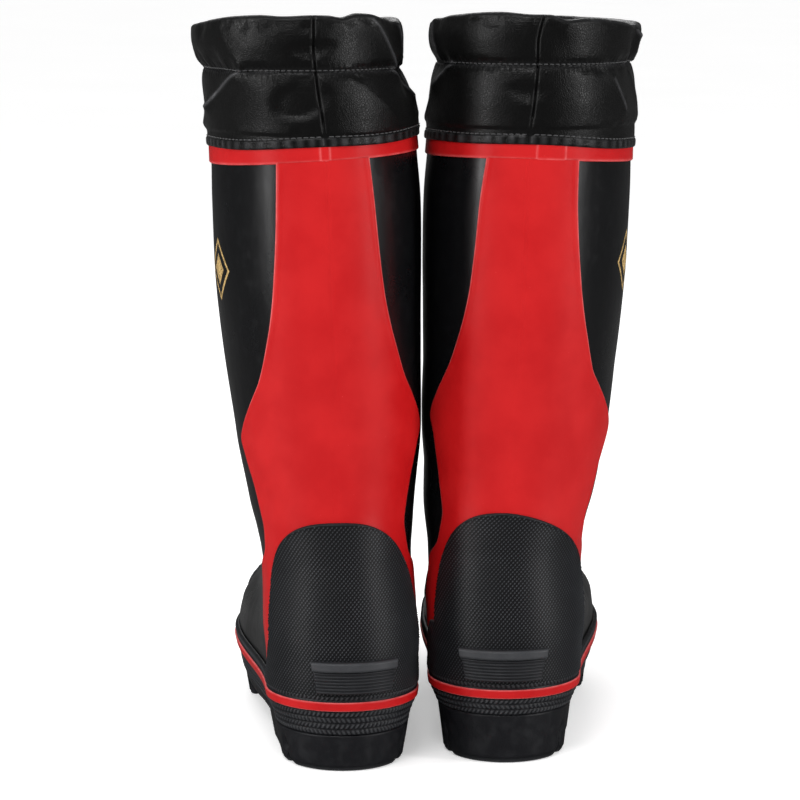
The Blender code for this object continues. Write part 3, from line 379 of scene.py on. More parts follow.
class Finish:
    """Builds one procedural material; lengths are in millimetres."""

    def __init__(self, name, roughness=0.5, metallic=0.0, **inputs):
        self.material = bpy.data.materials.new(name)
        self.material.use_nodes = True
        self.tree = self.material.node_tree
        self.shader = self.tree.nodes["Principled BSDF"]
        self.set("Roughness", roughness)
        self.set("Metallic", metallic)
        if not metallic:
            self.set("Specular IOR Level", SHINE)
        for key, value in inputs.items():
            self.set(key.replace("_", " "), value)
        metres = self.node("ShaderNodeTexCoord").outputs["Object"]
        self.place = self.stretched(metres, (1 / MM,) * 3)
        self.height = None

    def node(self, kind, **settings):
        made = self.tree.nodes.new(kind)
        for key, value in settings.items():
            setattr(made, key, value)
        return made

    def link(self, value, socket):
        if hasattr(value, "is_linked"):
            self.tree.links.new(value, socket)
        else:
            socket.default_value = value

    def set(self, name, value):
        self.link(value, self.shader.inputs[name])

    def math(self, operation, a, b=0.0, clamp=False):
        made = self.node("ShaderNodeMath", operation=operation, use_clamp=clamp)
        for socket, value in zip(made.inputs, (a, b)):
            self.link(value, socket)
        return made.outputs[0]

    def stretched(self, vector, factors):
        made = self.node("ShaderNodeVectorMath", operation="MULTIPLY")
        self.link(vector, made.inputs[0])
        self.link(factors, made.inputs[1])
        return made.outputs[0]

    def noise(self, size, detail=3.0, stretch=(1, 1, 1)):
        """A noise whose features are about size millimetres across."""
        made = self.node("ShaderNodeTexNoise")
        self.link(self.stretched(self.place, stretch), made.inputs["Vector"])
        made.inputs["Scale"].default_value = 1 / size
        made.inputs["Detail"].default_value = detail
        made.inputs["Roughness"].default_value = NOISE_ROUGHNESS
        return made.outputs["Fac"]

    def cells(self, size, feature="F1"):
        """Cells about size millimetres across."""
        made = self.node("ShaderNodeTexVoronoi", feature=feature)
        self.link(self.place, made.inputs["Vector"])
        made.inputs["Scale"].default_value = 1 / size
        return made.outputs["Distance"]

    def ramp(self, value, low, high, first=0.0, last=1.0):
        """A smooth step from first, at low, to last, at high."""
        made = self.node("ShaderNodeMapRange", interpolation_type="SMOOTHSTEP")
        for socket, v in zip(made.inputs, (value, low, high, first, last)):
            self.link(v, socket)
        return made.outputs[0]

    def mix(self, share, a, b):
        made = self.node("ShaderNodeMix", data_type="RGBA")
        self.link(share, made.inputs[0])
        for socket, colour in ((made.inputs[6], a), (made.inputs[7], b)):
            self.link(colour if hasattr(colour, "is_linked") else (*colour, 1.0), socket)
        return made.outputs[2]

    def attribute(self, name):
        return self.node("ShaderNodeAttribute", attribute_name=name).outputs["Fac"]

    def sheet(self):
        """The piece's own unrolled coordinates, in millimetres."""
        return self.node("ShaderNodeUVMap", uv_map="sheet").outputs["UV"]

    def colour(self, value):
        self.set("Base Color", value if hasattr(value, "is_linked") else (*value, 1.0))

    def relief(self, height, depth):
        """Adds a bump of a height in 0 to 1 times depth millimetres."""
        made = self.node("ShaderNodeBump")
        self.link(height, made.inputs["Height"])
        made.inputs["Strength"].default_value = 1.0
        made.inputs["Distance"].default_value = depth * MM
        if self.height is not None:
            self.link(self.height, made.inputs["Normal"])
        self.height = made.outputs["Normal"]
        self.set("Normal", self.height)


def make_black_rubber():
    f = Finish("black_rubber_skin", Coat_Weight=0.1, Coat_Roughness=0.2)
    cloudy, fine = f.noise(42), f.noise(1.3, 5)
    dust = f.ramp(f.noise(7, 3), 0.5, 0.9)
    f.colour(f.mix(dust, (0.0035, 0.0036, 0.0042), (0.0075, 0.0078, 0.0086)))
    f.set("Roughness", f.math("ADD", f.ramp(cloudy, 0.3, 0.7, 0.26, 0.36),
                              f.math("MULTIPLY", dust, 0.09)))
    f.relief(f.noise(16, 2, stretch=(1, 1, 0.45)), 0.35)
    f.relief(fine, 0.035)
    return f.material


def make_red_rubber():
    f = Finish("red_rubber_skin", Coat_Weight=0.02, Coat_Roughness=0.35)
    f.set("Specular IOR Level", 0.12)
    cloudy = f.ramp(f.noise(30, 4), 0.32, 0.7)
    body = f.mix(cloudy, (0.41, 0.006, 0.0075), (0.47, 0.009, 0.010))
    # Painted highlight: a pale pink along the rolled edges, read from the per-point attribute and broken up by
    # noise; the specks are real.
    edge_highlight = f.math("MULTIPLY", f.attribute("wear"), f.ramp(f.noise(5, 5), 0.25, 0.75, 0.35, 0.95))
    specks = f.ramp(f.noise(0.9, 3), 0.72, 0.8, 0, 0.35)
    f.colour(f.mix(f.math("MAXIMUM", edge_highlight, specks), body, (0.78, 0.2, 0.2)))
    f.set("Roughness", f.ramp(cloudy, 0, 1, 0.34, 0.46))
    f.relief(f.noise(13, 2), 0.25)
    f.relief(f.noise(1.1, 5), 0.03)
    return f.material


def make_counter_rubber():
    f = Finish("knurled_rubber")
    wear = f.attribute("wear")
    dust = f.ramp(f.noise(14, 5), 0.42, 0.7)
    # Painted highlight: the knurl peaks and rim go pale grey through the per-point attribute, varied by dust.
    f.colour(f.mix(f.math("MULTIPLY", wear, f.ramp(dust, 0, 1, 0.75, 1.0)),
                   (0.003, 0.003, 0.004), (0.075, 0.08, 0.088)))
    f.set("Roughness", f.math("SUBTRACT", 0.5, f.math("MULTIPLY", wear, 0.14)))
    f.relief(f.noise(0.6, 4), 0.03)
    return f.material


def make_sole_rubber():
    f = Finish("sole_rubber_skin")
    dust = f.ramp(f.noise(6, 6), 0.4, 0.75)
    # The per-point attribute paints a highlight along the kick ledge's top edge and makes the foxing's strands,
    # the toe guard's ribs and edge and the outsole's lowest edge paler; the dust is real.
    wear = f.math("MULTIPLY", f.attribute("wear"), 0.7)
    f.colour(f.mix(f.math("ADD", f.math("MULTIPLY", dust, 0.07), wear, clamp=True),
                   (0.007, 0.0072, 0.009), (0.075, 0.078, 0.084)))
    f.set("Roughness", f.ramp(dust, 0, 1, 0.42, 0.6))
    f.relief(f.noise(0.8, 5), 0.05)
    return f.material


def make_leather(name, tint=1.0):
    f = Finish(name, Sheen_Weight=0.02)
    f.set("Specular IOR Level", 0.22)
    grain = f.ramp(f.cells(1.25, "DISTANCE_TO_EDGE"), 0.0, 0.22)
    rub = f.ramp(f.noise(11, 5), 0.5, 0.72)
    # Painted highlight: the light colour lies along the fold crests, the rolled rim, the hem strip's puckers and
    # the waist line, through the per-point attribute and varied by the rub noise.
    dark, light = (0.0018 * tint,) * 3, (0.12 * tint, 0.12 * tint, 0.127 * tint)
    worn_and_highlit = f.math("MULTIPLY", f.ramp(rub, 0, 1, 0.4, 1.0), f.attribute("wear"))
    f.colour(f.mix(worn_and_highlit, dark, light))
    f.set("Roughness", f.math("ADD", f.ramp(grain, 0, 1, 0.42, 0.3),
                              f.math("MULTIPLY", rub, 0.07)))
    f.relief(f.noise(3.5, 3), 0.12)
    f.relief(grain, 0.05)
    return f.material


def make_thread():
    f = Finish("thread", roughness=0.6, Sheen_Weight=0.25)
    twist = f.noise(0.22, 2, stretch=(1, 1, 2.5))
    f.colour(f.mix(twist, (0.012, 0.012, 0.013), (0.075, 0.075, 0.078)))
    f.relief(twist, 0.06)
    return f.material


def make_lining():
    f = Finish("knitted_lining", roughness=0.9, Sheen_Weight=0.35)
    rows = f.node("ShaderNodeSeparateXYZ")
    f.link(f.sheet(), rows.inputs[0])
    column = f.math("SINE", f.math("MULTIPLY", rows.outputs[0], 2 * math.pi / 1.6))
    loops = f.math("SINE", f.math("ADD", f.math("MULTIPLY", rows.outputs[1], 2 * math.pi / 1.1),
                                  f.math("MULTIPLY", f.math("ABSOLUTE", column), 1.8)))
    knit = f.math("MULTIPLY", f.math("ABSOLUTE", column), f.ramp(loops, -1, 1, 0.35, 1.0))
    pile = f.noise(0.5, 4)
    f.colour(f.mix(f.math("MULTIPLY", knit, f.ramp(pile, 0.3, 0.7, 0.5, 1.0)),
                   (0.12, 0.125, 0.13), (0.36, 0.365, 0.375)))
    f.relief(knit, 0.3)
    f.relief(pile, 0.12)
    return f.material


def make_foam(name, dark, light, cell=0.7):
    f = Finish(name, roughness=0.85)
    cells = f.ramp(f.cells(cell), 0.05, 0.5)
    f.colour(f.mix(f.math("MULTIPLY", cells, f.ramp(f.noise(12, 4), 0.3, 0.7, 0.5, 1.0)),
                   dark, light))
    f.relief(cells, 0.2)
    return f.material


def make_steel():
    f = Finish("brushed_steel", metallic=1.0, Anisotropic=0.5)
    brushed = f.noise(2.2, 4, stretch=(0.35, 6, 6))
    tarnish = f.ramp(f.noise(9, 4), 0.4, 0.75)
    f.colour(f.mix(tarnish, (0.6, 0.61, 0.63), (0.36, 0.35, 0.34)))
    f.set("Roughness", f.math("ADD", f.ramp(brushed, 0.3, 0.7, 0.2, 0.34),
                              f.math("MULTIPLY", tarnish, 0.12)))
    f.relief(brushed, 0.02)
    return f.material


def make_fibre_board():
    f = Finish("fibre_board_sheet", roughness=0.85)
    fibres = f.noise(1.6, 6, stretch=(0.4, 2.2, 2.2))
    f.colour(f.mix(f.ramp(fibres, 0.3, 0.7), (0.2, 0.13, 0.075), (0.44, 0.33, 0.22)))
    f.relief(fibres, 0.15)
    return f.material


def make_cord():
    f = Finish("braided_cord", roughness=0.62, Sheen_Weight=0.3)
    wear = f.attribute("wear")
    fibre = f.noise(0.25, 3, stretch=(1, 1, 0.3))
    f.colour(f.mix(f.math("MULTIPLY", wear, fibre), (0.006, 0.006, 0.007), (0.05, 0.05, 0.053)))
    f.relief(fibre, 0.06)
    return f.material


def make_plastic():
    f = Finish("moulded_plastic")
    spark = f.noise(0.35, 2)
    rub = f.ramp(f.noise(6, 5), 0.5, 0.75)
    f.colour(f.mix(rub, (0.012, 0.012, 0.013), (0.026, 0.026, 0.028)))
    f.set("Roughness", f.ramp(rub, 0, 1, 0.34, 0.48))
    f.relief(spark, 0.03)
    return f.material


def make_gold_print():
    f = Finish("gold_print", metallic=0.3)
    worn_and_highlit = f.ramp(f.noise(1.6, 6), 0.35, 0.62)
    f.colour(f.mix(worn_and_highlit, (0.3, 0.2, 0.07), (0.78, 0.52, 0.2)))
    f.set("Roughness", f.ramp(worn_and_highlit, 0, 1, 0.6, 0.36))
    f.relief(worn_and_highlit, 0.03)
    return f.material


BLACK_RUBBER, RED_RUBBER = make_black_rubber(), make_red_rubber()
COUNTER_RUBBER, SOLE_RUBBER = make_counter_rubber(), make_sole_rubber()
PANEL_LEATHER, HEM_LEATHER = make_leather("cuff_leather"), make_leather("hem_leather", 0.9)
THREAD, KNIT, STEEL, BOARD = make_thread(), make_lining(), make_steel(), make_fibre_board()
INSOLE_FOAM = make_foam("insole_foam_skin", (0.02, 0.02, 0.022), (0.085, 0.085, 0.09))
FILLER_FOAM = make_foam("filler_foam", (0.03, 0.03, 0.03), (0.07, 0.07, 0.072), 1.1)
CORD, PLASTIC, GOLD = make_cord(), make_plastic(), make_gold_print()


# --------------------------------------------------------------------- boots
JOINTS = {j["name"]: j for j in frame["joints"]}
MOUNTS = {m["name"]: m for m in frame["record"]["mounts"]}


class Boot:
    """Places pieces on one boot of the frame."""

    def __init__(self, name):
        self.name, self.side = name, SIDE[name]
        swing = JOINTS[name + "_cord_swing"]["axis"]
        yaw = math.atan2(-swing[1], -swing[0])
        self.turn = np.array([[math.cos(yaw), math.sin(yaw)], [-math.sin(yaw), math.cos(yaw)]])
        tread = np.array(MOUNTS[name + "_heel_tread"]["pos_m"][:2])
        self.origin = tread + MOUNT_FORWARD * MM * np.array([-math.sin(yaw), math.cos(yaw)])
        self.fullness = smooth_curve(ANKLE_FULLNESS[name])
        self.shift = smooth_curve(ANKLE_SHIFT[name])
        self.panel_turn = smooth_curve(PANEL_TURN[name])
        chance = np.random.default_rng(11 if name == "left" else 23)
        self.waves = [(chance.integers(1, 6), chance.uniform(30, 120), chance.uniform(0, 6.3),
                       chance.uniform(0.05, 0.13)) for _ in range(7)]
        self.fold_table = None

    def world(self, points):
        """From (outward, forward, up) millimetres to the frame's axes in metres."""
        points = np.asarray(points, float)
        out, forward, up = points[..., 0], points[..., 1], points[..., 2]
        turn = math.radians(SHAFT_TWIST[self.name]) * smooth_step(up, *TWIST_RANGE)
        axis_out = LEAN_AT(up)
        x = (out - axis_out) * (1 + self.fullness(up) / BACK_WIDTH_AT(up))
        u = forward - SHAFT_AXIS_FORWARD
        out = axis_out + x * np.cos(turn) + u * np.sin(turn) + self.shift(up)
        out = out + CUFF_LEAN[self.name] * smooth_step(up, *CUFF_LEAN_RANGE)
        forward = SHAFT_AXIS_FORWARD - x * np.sin(turn) + u * np.cos(turn)
        up = up + HEEL_RISE[self.name] * smooth_step(up, 0, HEEL_BLOCK_TOP)
        flat = np.stack([self.side * out, -forward], axis=-1) * MM @ self.turn
        return np.concatenate([flat + self.origin, up[..., None] * MM], axis=-1)

    def wobble(self, z, share):
        """The slight unevenness of a hand-laid boot, in millimetres."""
        total = 0
        for around, tall, phase, size in self.waves:
            total = total + size * np.sin(math.pi * around * share + z / tall * math.pi + phase)
        return total * smooth_step(z, 60, 140)

    def plain(self, z, share, offset):
        """A point at an offset from the upper's outer face, before it is placed."""
        z, share, offset = np.broadcast_arrays(np.asarray(z, float), share, offset)
        share = wrapped(share)
        rows, columns = z - TABLE_Z[0], (share + 1) / 2 * (len(TABLE_SHARE) - 1)
        normal = sampled(NORMAL, rows, columns)
        normal /= np.linalg.norm(normal, axis=-1, keepdims=True)
        points = sampled(SPACE, rows, columns) + normal * (offset
                                                           + self.wobble(z, share))[..., None]
        fade = 1 - smooth_step(points[..., 2], *FADE)
        points[..., 2] += DROP_AT(points[..., 1]) * fade
        return points

    def skin(self, z, share, offset):
        return self.world(self.plain(z, share, offset))

    def add(self, part, points, quads, finish, body="boot", stands_for=(), slot=None, **extra):
        """A piece of this boot, riding on one of its bodies."""
        made = build(f"{self.name}_{part}", points, quads, finish, **extra)
        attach(made, f"{self.name}_{body}")
        if stands_for:
            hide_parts(*[f"{self.name}_{node}" for node in stands_for])
        return made

    def wall(self, part, z, share, offset, finish, wrap_rows=False, wrap_columns=True, **extra):
        """A sheet or a closed band from grids of heights, shares and offsets."""
        z, share, offset = np.broadcast_arrays(z, share, offset)
        points = self.skin(z, share, offset)
        rows, columns = z.shape
        sheet = np.stack([share * half_length(np.clip(z, 30, 400)), z], axis=-1).reshape(-1, 2)
        return self.add(part, points, grid_quads(rows, columns, wrap_rows, wrap_columns),
                        finish, sheet=sheet, **extra)


def all_round(count):
    return np.linspace(-1, 1, count, endpoint=False)[None, :]


def section(*corners, spacing=1.0):
    """Points every so often along straight lines between (z, offset) corners."""
    made = []
    for (z0, o0), (z1, o1) in zip(corners, corners[1:]):
        count = max(1, int(math.ceil(math.hypot(z1 - z0, o1 - o0) / spacing)))
        t = np.arange(count) / count
        made += list(zip(z0 + (z1 - z0) * t, o0 + (o1 - o0) * t))
    made.append(corners[-1])
    z, offset = np.array(made).T
    return z[:, None], offset[:, None]


def rolled(distance, radius):
    """The share of full height a rounded edge reaches at a distance from its rim."""
    t = np.clip(distance / radius, 0, 1)
    return np.sqrt(1 - (1 - t) ** 2)


# ------------------------------------------------------ rubber shaft and foot
def shaft(boot):
    z, offset = section((UPPER_LOW, UPPER[0]), (UPPER_LOW, UPPER[1]), (60, UPPER[1]),
                        (140, UPPER[1]), (UPPER_TOP, UPPER[1]), (UPPER_TOP, UPPER[0]),
                        (UPPER_LOW, UPPER[0]), spacing=2.0)
    boot.wall("rubber_shaft", z, all_round(360), offset, BLACK_RUBBER,
              stands_for=["rubber_upper"], slot="black_rubber")


def panel_edges(boot, z):
    """The shares of the red panel's outer and inner edges."""
    low = np.minimum(z, UPPER_TOP)
    turn = boot.panel_turn(low)
    outer, inner = (PANEL_ANGLE(low - lift * bump(low, place, reach))
                    for place, reach, lift in SHOULDER_LIFT[boot.name])
    return share_at_angle(low, outer + turn), share_at_angle(low, inner - turn)


def tilted(table, boot, share):
    """An edge's height round the boot from its height behind, tilt and dip."""
    behind, tilt, dip = table[boot.name]
    return behind - tilt * np.sin(math.pi * share) - dip * np.sin(math.pi * share) ** 2


def back_panel(boot):
    """The raised red panel, with a rolled edge and a seam down the middle."""
    z = np.arange(PANEL_LOW, PANEL_TOP + 0.5, 1.0)[:, None]
    outer, inner = panel_edges(boot, z)
    across = np.concatenate([[0, 0.003, 0.007, 0.012, 0.018], np.linspace(0.025, 0.975, 91),
                             [0.982, 0.988, 0.993, 0.997, 1]])[None, :]
    share = -inner + (outer + inner) * across
    z = z + (tilted(BAND_EDGE, boot, share) + 0.6 - PANEL_TOP) * smooth_step(z, 290, PANEL_TOP)
    length = half_length(z)
    edge = np.minimum(share + inner, outer - share) * length
    seam = bump(share * length, 0, 0.5) - 0.5 * bump(abs(share * length), 1.3, 0.6)
    ripple = 0.25 * bump(edge, 2.6, 1.4)
    offset = (PANEL_FACE + ripple) * rolled(edge, 1.5) - 0.16 * seam * smooth_step(edge, 2, 6)
    # Painted highlight along the panel's rolled edges.
    wear = 0.8 * bump(edge, 0.7, 0.6)
    boot.wall("red_panel", z, share, offset, RED_RUBBER, wrap_columns=False,
              stands_for=["red_back_panel"], slot="red_rubber", wear=wear)


KNURL_WIDE, KNURL_TALL, KNURL_HIGH = 2.0, 2.4, 0.5
HEEL_RADIUS = 41.0


def counter_top(boot, angle):
    """The height of the counter's arch at angles round the heel, the outer side positive."""
    peak, inner, outer = COUNTER_ARCH[boot.name]
    span, power, root = (np.where(angle < 0, a, b) for a, b in zip(inner, outer))
    arch = (1 - np.minimum(abs(angle) / span, 1) ** power) ** (1 / root)
    skirt = np.minimum(SKIRT_SLOPE * (COUNTER_REACH - abs(angle)), SKIRT_TOP)
    return COUNTER_LOW + np.maximum(np.maximum((peak - COUNTER_LOW) * arch, skirt), 0.5)


def counter(boot):
    """The heel counter, cut into rows of small diamonds."""
    step = math.degrees(KNURL_WIDE / 4 / HEEL_RADIUS)
    widest, low = COUNTER_REACH, COUNTER_LOW
    count = int(widest / step)
    angle = np.concatenate([[-widest], np.arange(-count, count + 1) * step, [widest]])
    top = counter_top(boot, angle)[None, :]
    z = np.minimum(np.arange(low, top.max() + KNURL_TALL, KNURL_TALL / 4)[:, None], top)
    across = np.cos(angle[None, :] / step * math.pi / 2)
    peaks = np.clip(across * np.cos(2 * math.pi * z / KNURL_TALL), 0, 1) ** 0.8
    edge = np.minimum(top - z, (widest - abs(angle)[None, :]) * HEEL_RADIUS * math.pi / 180)
    inside = (edge > 1.4).astype(float)
    rim = bump(edge, 0.9, 0.6) * 0.25
    offset = COUNTER_FACE * rolled(edge + 0.05, 1.2) + KNURL_HIGH * (peaks - 0.3) * inside + rim
    share = share_at_angle(z, np.broadcast_to(angle[None, :], z.shape))
    # Painted highlight on the knurl peaks and, fainter, along the rim.
    wear = peaks * inside + (1 - inside) * 0.15
    boot.wall("knurled_counter", z, share, offset, COUNTER_RUBBER, wrap_columns=False,
                     stands_for=["heel_counter"], slot="black_rubber", wear=wear)


def spur(boot):
    """The kick-off ledge with its fine ribs."""
    ribs, ledge = 7, 5.2
    tall = SPUR_HIGH - SPUR_LOW
    rib = (tall - ledge) / ribs
    base = COUNTER_FACE - 0.6
    corners = [(SPUR_LOW, base), (SPUR_LOW + 0.2, base + SPUR_DEPTH - 2.6)]
    for i in range(ribs):
        z = SPUR_LOW + 0.2 + i * rib
        reach = base + SPUR_DEPTH - 2.4 + 1.2 * i / (ribs - 1)
        corners += [(z + 0.25 * rib, reach + 0.5), (z + 0.6 * rib, reach + 0.5),
                    (z + 0.85 * rib, reach - 0.25)]
    corners += [(SPUR_HIGH - ledge + 0.2, base + SPUR_DEPTH + 0.2),
                (SPUR_HIGH - ledge + 1.0, base + SPUR_DEPTH + 0.9),
                (SPUR_HIGH - 1.1, base + SPUR_DEPTH + 0.9),
                (SPUR_HIGH - 0.3, base + SPUR_DEPTH + 0.3), (SPUR_HIGH, base + 2.4),
                (SPUR_HIGH, base)]
    z, offset = section(*corners, spacing=0.6)
    half = math.degrees(math.asin(SPUR_WIDTH / 2 / BACK_WIDTH_AT(50.0)))
    angle = half * np.sin(np.linspace(-math.pi / 2, math.pi / 2, 97))[None, :]
    away = abs(angle) / half
    taper = (SPUR_HIGH - z) / tall * 4.0
    share = share_at_angle(np.broadcast_to(z, (len(z), 97)),
                           angle * (1 - taper / SPUR_WIDTH) + SPUR_TURN[boot.name])
    fall = 1 - 0.25 * away ** 3 - 0.75 * smooth_step(away, 0.9, 1.0)
    # Painted highlight along the ledge's raised top edge, over a slightly paler tone for the whole spur.
    wear = np.clip((offset - base - 3.0) / 3, 0, 1) * smooth_step(z, SPUR_HIGH - ledge - 1,
                                                                 SPUR_HIGH - ledge + 1)
    wear = np.broadcast_to(0.2 + 0.42 * wear, share.shape)
    boot.wall("kick_spur", z, share, base + (offset - base) * fall, SOLE_RUBBER,
              wrap_columns=False, stands_for=["kick_off_spur"], slot="black_rubber", wear=wear)


ROPE_PITCH = 2.4            # along the foxing, from one strand to the next


def foxing(boot):
    """The moulded tape round the foot: rope rows, chevrons and dots."""
    low = SOLE_TOP[boot.name]
    z = np.concatenate([[low], np.arange(low, FOXING_TOP, 0.4), [FOXING_TOP] * 2])[:, None]
    share = all_round(1152)
    around = 2 * half_length(30.0)
    along = share * around / 2
    strands = 2 * math.pi * round(around / ROPE_PITCH) / around

    def strokes(low, high, lean, size):
        inside = smooth_step(z, low, low + 0.5) * smooth_step(-z, -high, -high + 0.5)
        wave = np.sin(strands * along + lean * (z - low) / (high - low) * math.pi)
        round_row = np.sqrt(np.clip(1 - ((z - (low + high) / 2) / ((high - low) / 2)) ** 2, 0, 1))
        return inside * round_row * size * (0.45 + 0.55 * np.maximum(wave, -0.3))

    relief = strokes(STRIPE_HIGH + 0.4, FOXING_TOP - 0.3, 1.5, 1.0)
    rows = 4 if boot.side > 0 else 3
    pitch = (STRIPE_LOW - 0.3 - low) / rows
    for row in range(rows):
        relief = relief + strokes(low + row * pitch + 0.2, low + (row + 1) * pitch - 0.1,
                                  1.4 if row % 2 else -1.4, 1.0)
    body = FOXING[1] - 1.0 + 0.3 * smooth_step(z, low, low + 6)
    body = np.where((z > STRIPE_LOW - 0.3) & (z < STRIPE_HIGH + 0.3), FOXING[1] + 0.2, body)
    offset = body + relief
    offset[0], offset[-1] = FOXING[0], FOXING[0]
    wear = np.clip(relief * 1.1 - 0.3, 0, 1)
    boot.wall("moulded_foxing", z, share, offset, SOLE_RUBBER, stands_for=["foxing_tape"],
              slot="sole_rubber", wear=wear)


def stripe(boot):
    low, high = STRIPE_LOW + 0.2, STRIPE_HIGH - 0.2
    z, offset = section((low, STRIPE[0]), (low, STRIPE[1] - 0.5), (low + 0.5, STRIPE[1]),
                        (high - 0.5, STRIPE[1]), (high, STRIPE[1] - 0.5), (high, STRIPE[0]),
                        (low, STRIPE[0]), spacing=0.4)
    edge = np.minimum(z - low, high - z)
    # Painted highlight along the stripe's rolled edges.
    wear = np.broadcast_to(0.8 * bump(edge, 0, 0.35), (len(z), 720))
    boot.wall("red_stripe", z, all_round(720), offset, RED_RUBBER,
              stands_for=["foxing_stripe"], slot="red_rubber", wear=wear)


def top_band(boot):
    """The red band under the cuff, with its lapped join."""
    z, offset = section((BAND_LOW, BAND[0]), (BAND_LOW, BAND[1] - 0.4),
                        (BAND_LOW + 0.4, BAND[1]), (BAND_TOP, BAND[1]),
                        (BAND_TOP, BAND[0]), (BAND_LOW, BAND[0]), spacing=0.6)
    share = all_round(720)
    along = share * half_length(328.0)
    edge = tilted(BAND_EDGE, boot, share) - BAND_LOW
    lap_from, lap_to = (4.0, 19.5) if boot.side < 0 else (-2.0, 3.0)
    lap = smooth_step(along, lap_from, lap_from + 0.5) * smooth_step(-along, -lap_to, -lap_to + 0.5)
    outside = smooth_step(offset, BAND[1] - 0.5, BAND[1])
    low = BAND_LOW - (0.7 if boot.side < 0 else 0.3) * lap * (z < BAND_LOW + 0.5)
    # Painted highlight along the lap's edges and the band's lower edge, on the outside only.
    edges = bump(along, lap_from, 0.5) + bump(along, lap_to, 0.5) + bump(z, BAND_LOW + 0.4, 0.6)
    wear = np.clip(0.5 * edges, 0, 1) * outside
    z = np.where(z < BAND_LOW + 0.3, low, z)
    boot.wall("red_band", z + edge * smooth_step(-z, -UPPER_TOP, -BAND_LOW), share,
              offset + 0.35 * lap * outside, RED_RUBBER, stands_for=["top_band"],
              slot="red_rubber", wear=wear)


GUARD_LOW, GUARD_TOP, GUARD_REAR = 41.7, 71.0, 232.0


def toe_guard(boot):
    """The moulded guard over the toe, ribbed along its top edge."""
    z = np.append(np.arange(GUARD_LOW, GUARD_TOP - 0.5, 0.7), GUARD_TOP)[:, None]
    edges = np.array([share_at_forward(float(v), GUARD_REAR) for v in z[:, 0]])[:, None]
    across = np.linspace(0, 1, 181)[None, :]
    share = edges + (2 - 2 * edges) * across
    length = half_length(z)
    edge = np.minimum(np.minimum(share - edges, 2 - edges - share) * length, GUARD_TOP - z)
    rib = 0.5 * np.maximum(np.sin((z - 58) / 3.4 * 2 * math.pi), -0.4) * (z > 57)
    middle = smooth_step(edge, 3, 5)
    offset = (TOE_GUARD_FACE - 0.3) * rolled(edge + 0.02, 1.6) + rib * middle * (z < 68)
    wear = np.clip(bump(edge, 1.2, 1.0) * 0.5 + rib * middle, 0, 1)
    boot.wall("ribbed_toe_guard", z, share, offset, SOLE_RUBBER, wrap_columns=False,
              stands_for=["toe_guard"], slot="black_rubber", wear=wear)


TREAD_BAR, TREAD_ROOT = 15.0, 8.5
HEEL_FRONT, FOREFOOT_FROM = 82.0, 188.0
HEEL_GROOVES = (25, 46)


def tread_height(u, x):
    """How far the sole's underside lies above its contact plane."""
    toe_spring = np.interp(u, (215, 250, 290), (0, 2.0, 8.5))
    heel_groove = 4.0 * sum(bump(u, place, 2.2) for place in HEEL_GROOVES).clip(0, 1)
    heel = heel_groove * smooth_step(u, 12, 18)
    phase = ((u + 0.32 * abs(x) - FOREFOOT_FROM) / TREAD_BAR) % 1
    bar = 1 - smooth_step(phase, 0.56, 0.64) + smooth_step(phase, 0.92, 1.0)
    split = 1 - smooth_step(abs(x), 1.2, 2.2)
    lugs = TREAD_ROOT * np.maximum(1 - bar, split)
    lugs = lugs * smooth_step(-u, -283, -278)
    arch = 13.0 + 1.5 * bump(u, 95, 25)
    front = smooth_step(u, HEEL_FRONT - 2, HEEL_FRONT + 2)
    height = heel * (1 - front) + arch * front
    return height + (lugs - height) * smooth_step(u, FOREFOOT_FROM - 7, FOREFOOT_FROM) + toe_spring


def outsole(boot):
    """Heel block, waist and lugged forefoot in one moulding."""
    close = 0.1 * np.linspace(0, 1, 60)[:-1] ** 2
    stations = np.concatenate([close, np.linspace(0.1, 0.9, 420), 1 - close[::-1]])
    round_edge = [(0.0, 2.6), (0.35, 1.2), (1.2, 0.35), (2.6, 0.0)]
    rows = []
    top = SOLE_TOP[boot.name] - 0.3
    forward = boot.plain(UPPER_LOW, stations, 0.0)[:, 1]

    def wall_points(side, z, inset):
        taper = OUTSOLE_TAPER * (1 - z / top)
        notch = 2.2 * bump(forward, HEEL_GROOVES[0] + 2, 2.2) * bump(z, 11, 5)
        return boot.plain(UPPER_LOW, side * stations, OUTSOLE_EDGE - taper - inset - notch)

    def place(points, z):
        points = points.copy()
        points[:, 2] = z
        return points

    tread_base = np.minimum(tread_height(forward, 40.0), top - 4)
    for side in (1, -1):
        wall = []
        edge = boot.plain(UPPER_LOW, side * stations, OUTSOLE_EDGE)
        wall.append(place(edge, top + (edge[:, 2] - UPPER_LOW)))
        for share in np.linspace(0.05, 0.8, 14):
            z = top - (top - 2.6) * share / 0.8
            wall.append(place(wall_points(side, z, 0.0), np.maximum(z, tread_base + 2.6)))
        for inset, rise in round_edge:
            wall.append(place(wall_points(side, 0.0, inset), tread_base + rise))
        rows.append(wall)
    outer, inner = rows
    across = []
    for t in np.linspace(0, 1, 66)[1:-1]:
        points = outer[-1] * (1 - t) + inner[-1] * t
        middle_x = points[:, 0] - (outer[-1][:, 0] + inner[-1][:, 0]) / 2
        height = tread_height(points[:, 1], middle_x)
        blend = smooth_step(np.minimum(t, 1 - t), 0.0, 0.06)
        across.append(place(points, tread_base * (1 - blend) + height * blend))
    grid = np.array(outer + across + list(reversed(inner)))
    lid = [outer[0] * (1 - t) + inner[0] * t for t in np.linspace(1, 0, 9)[1:-1]]
    grid = np.concatenate([grid, np.array(lid)])
    wear = np.clip(1.2 - grid[..., 2] / 2.5, 0, 1) * 0.5
    boot.add("moulded_outsole", boot.world(grid),
             grid_quads(*grid.shape[:2], wrap_rows=True), SOLE_RUBBER,
             stands_for=["outsole"], slot="sole_rubber", wear=wear)


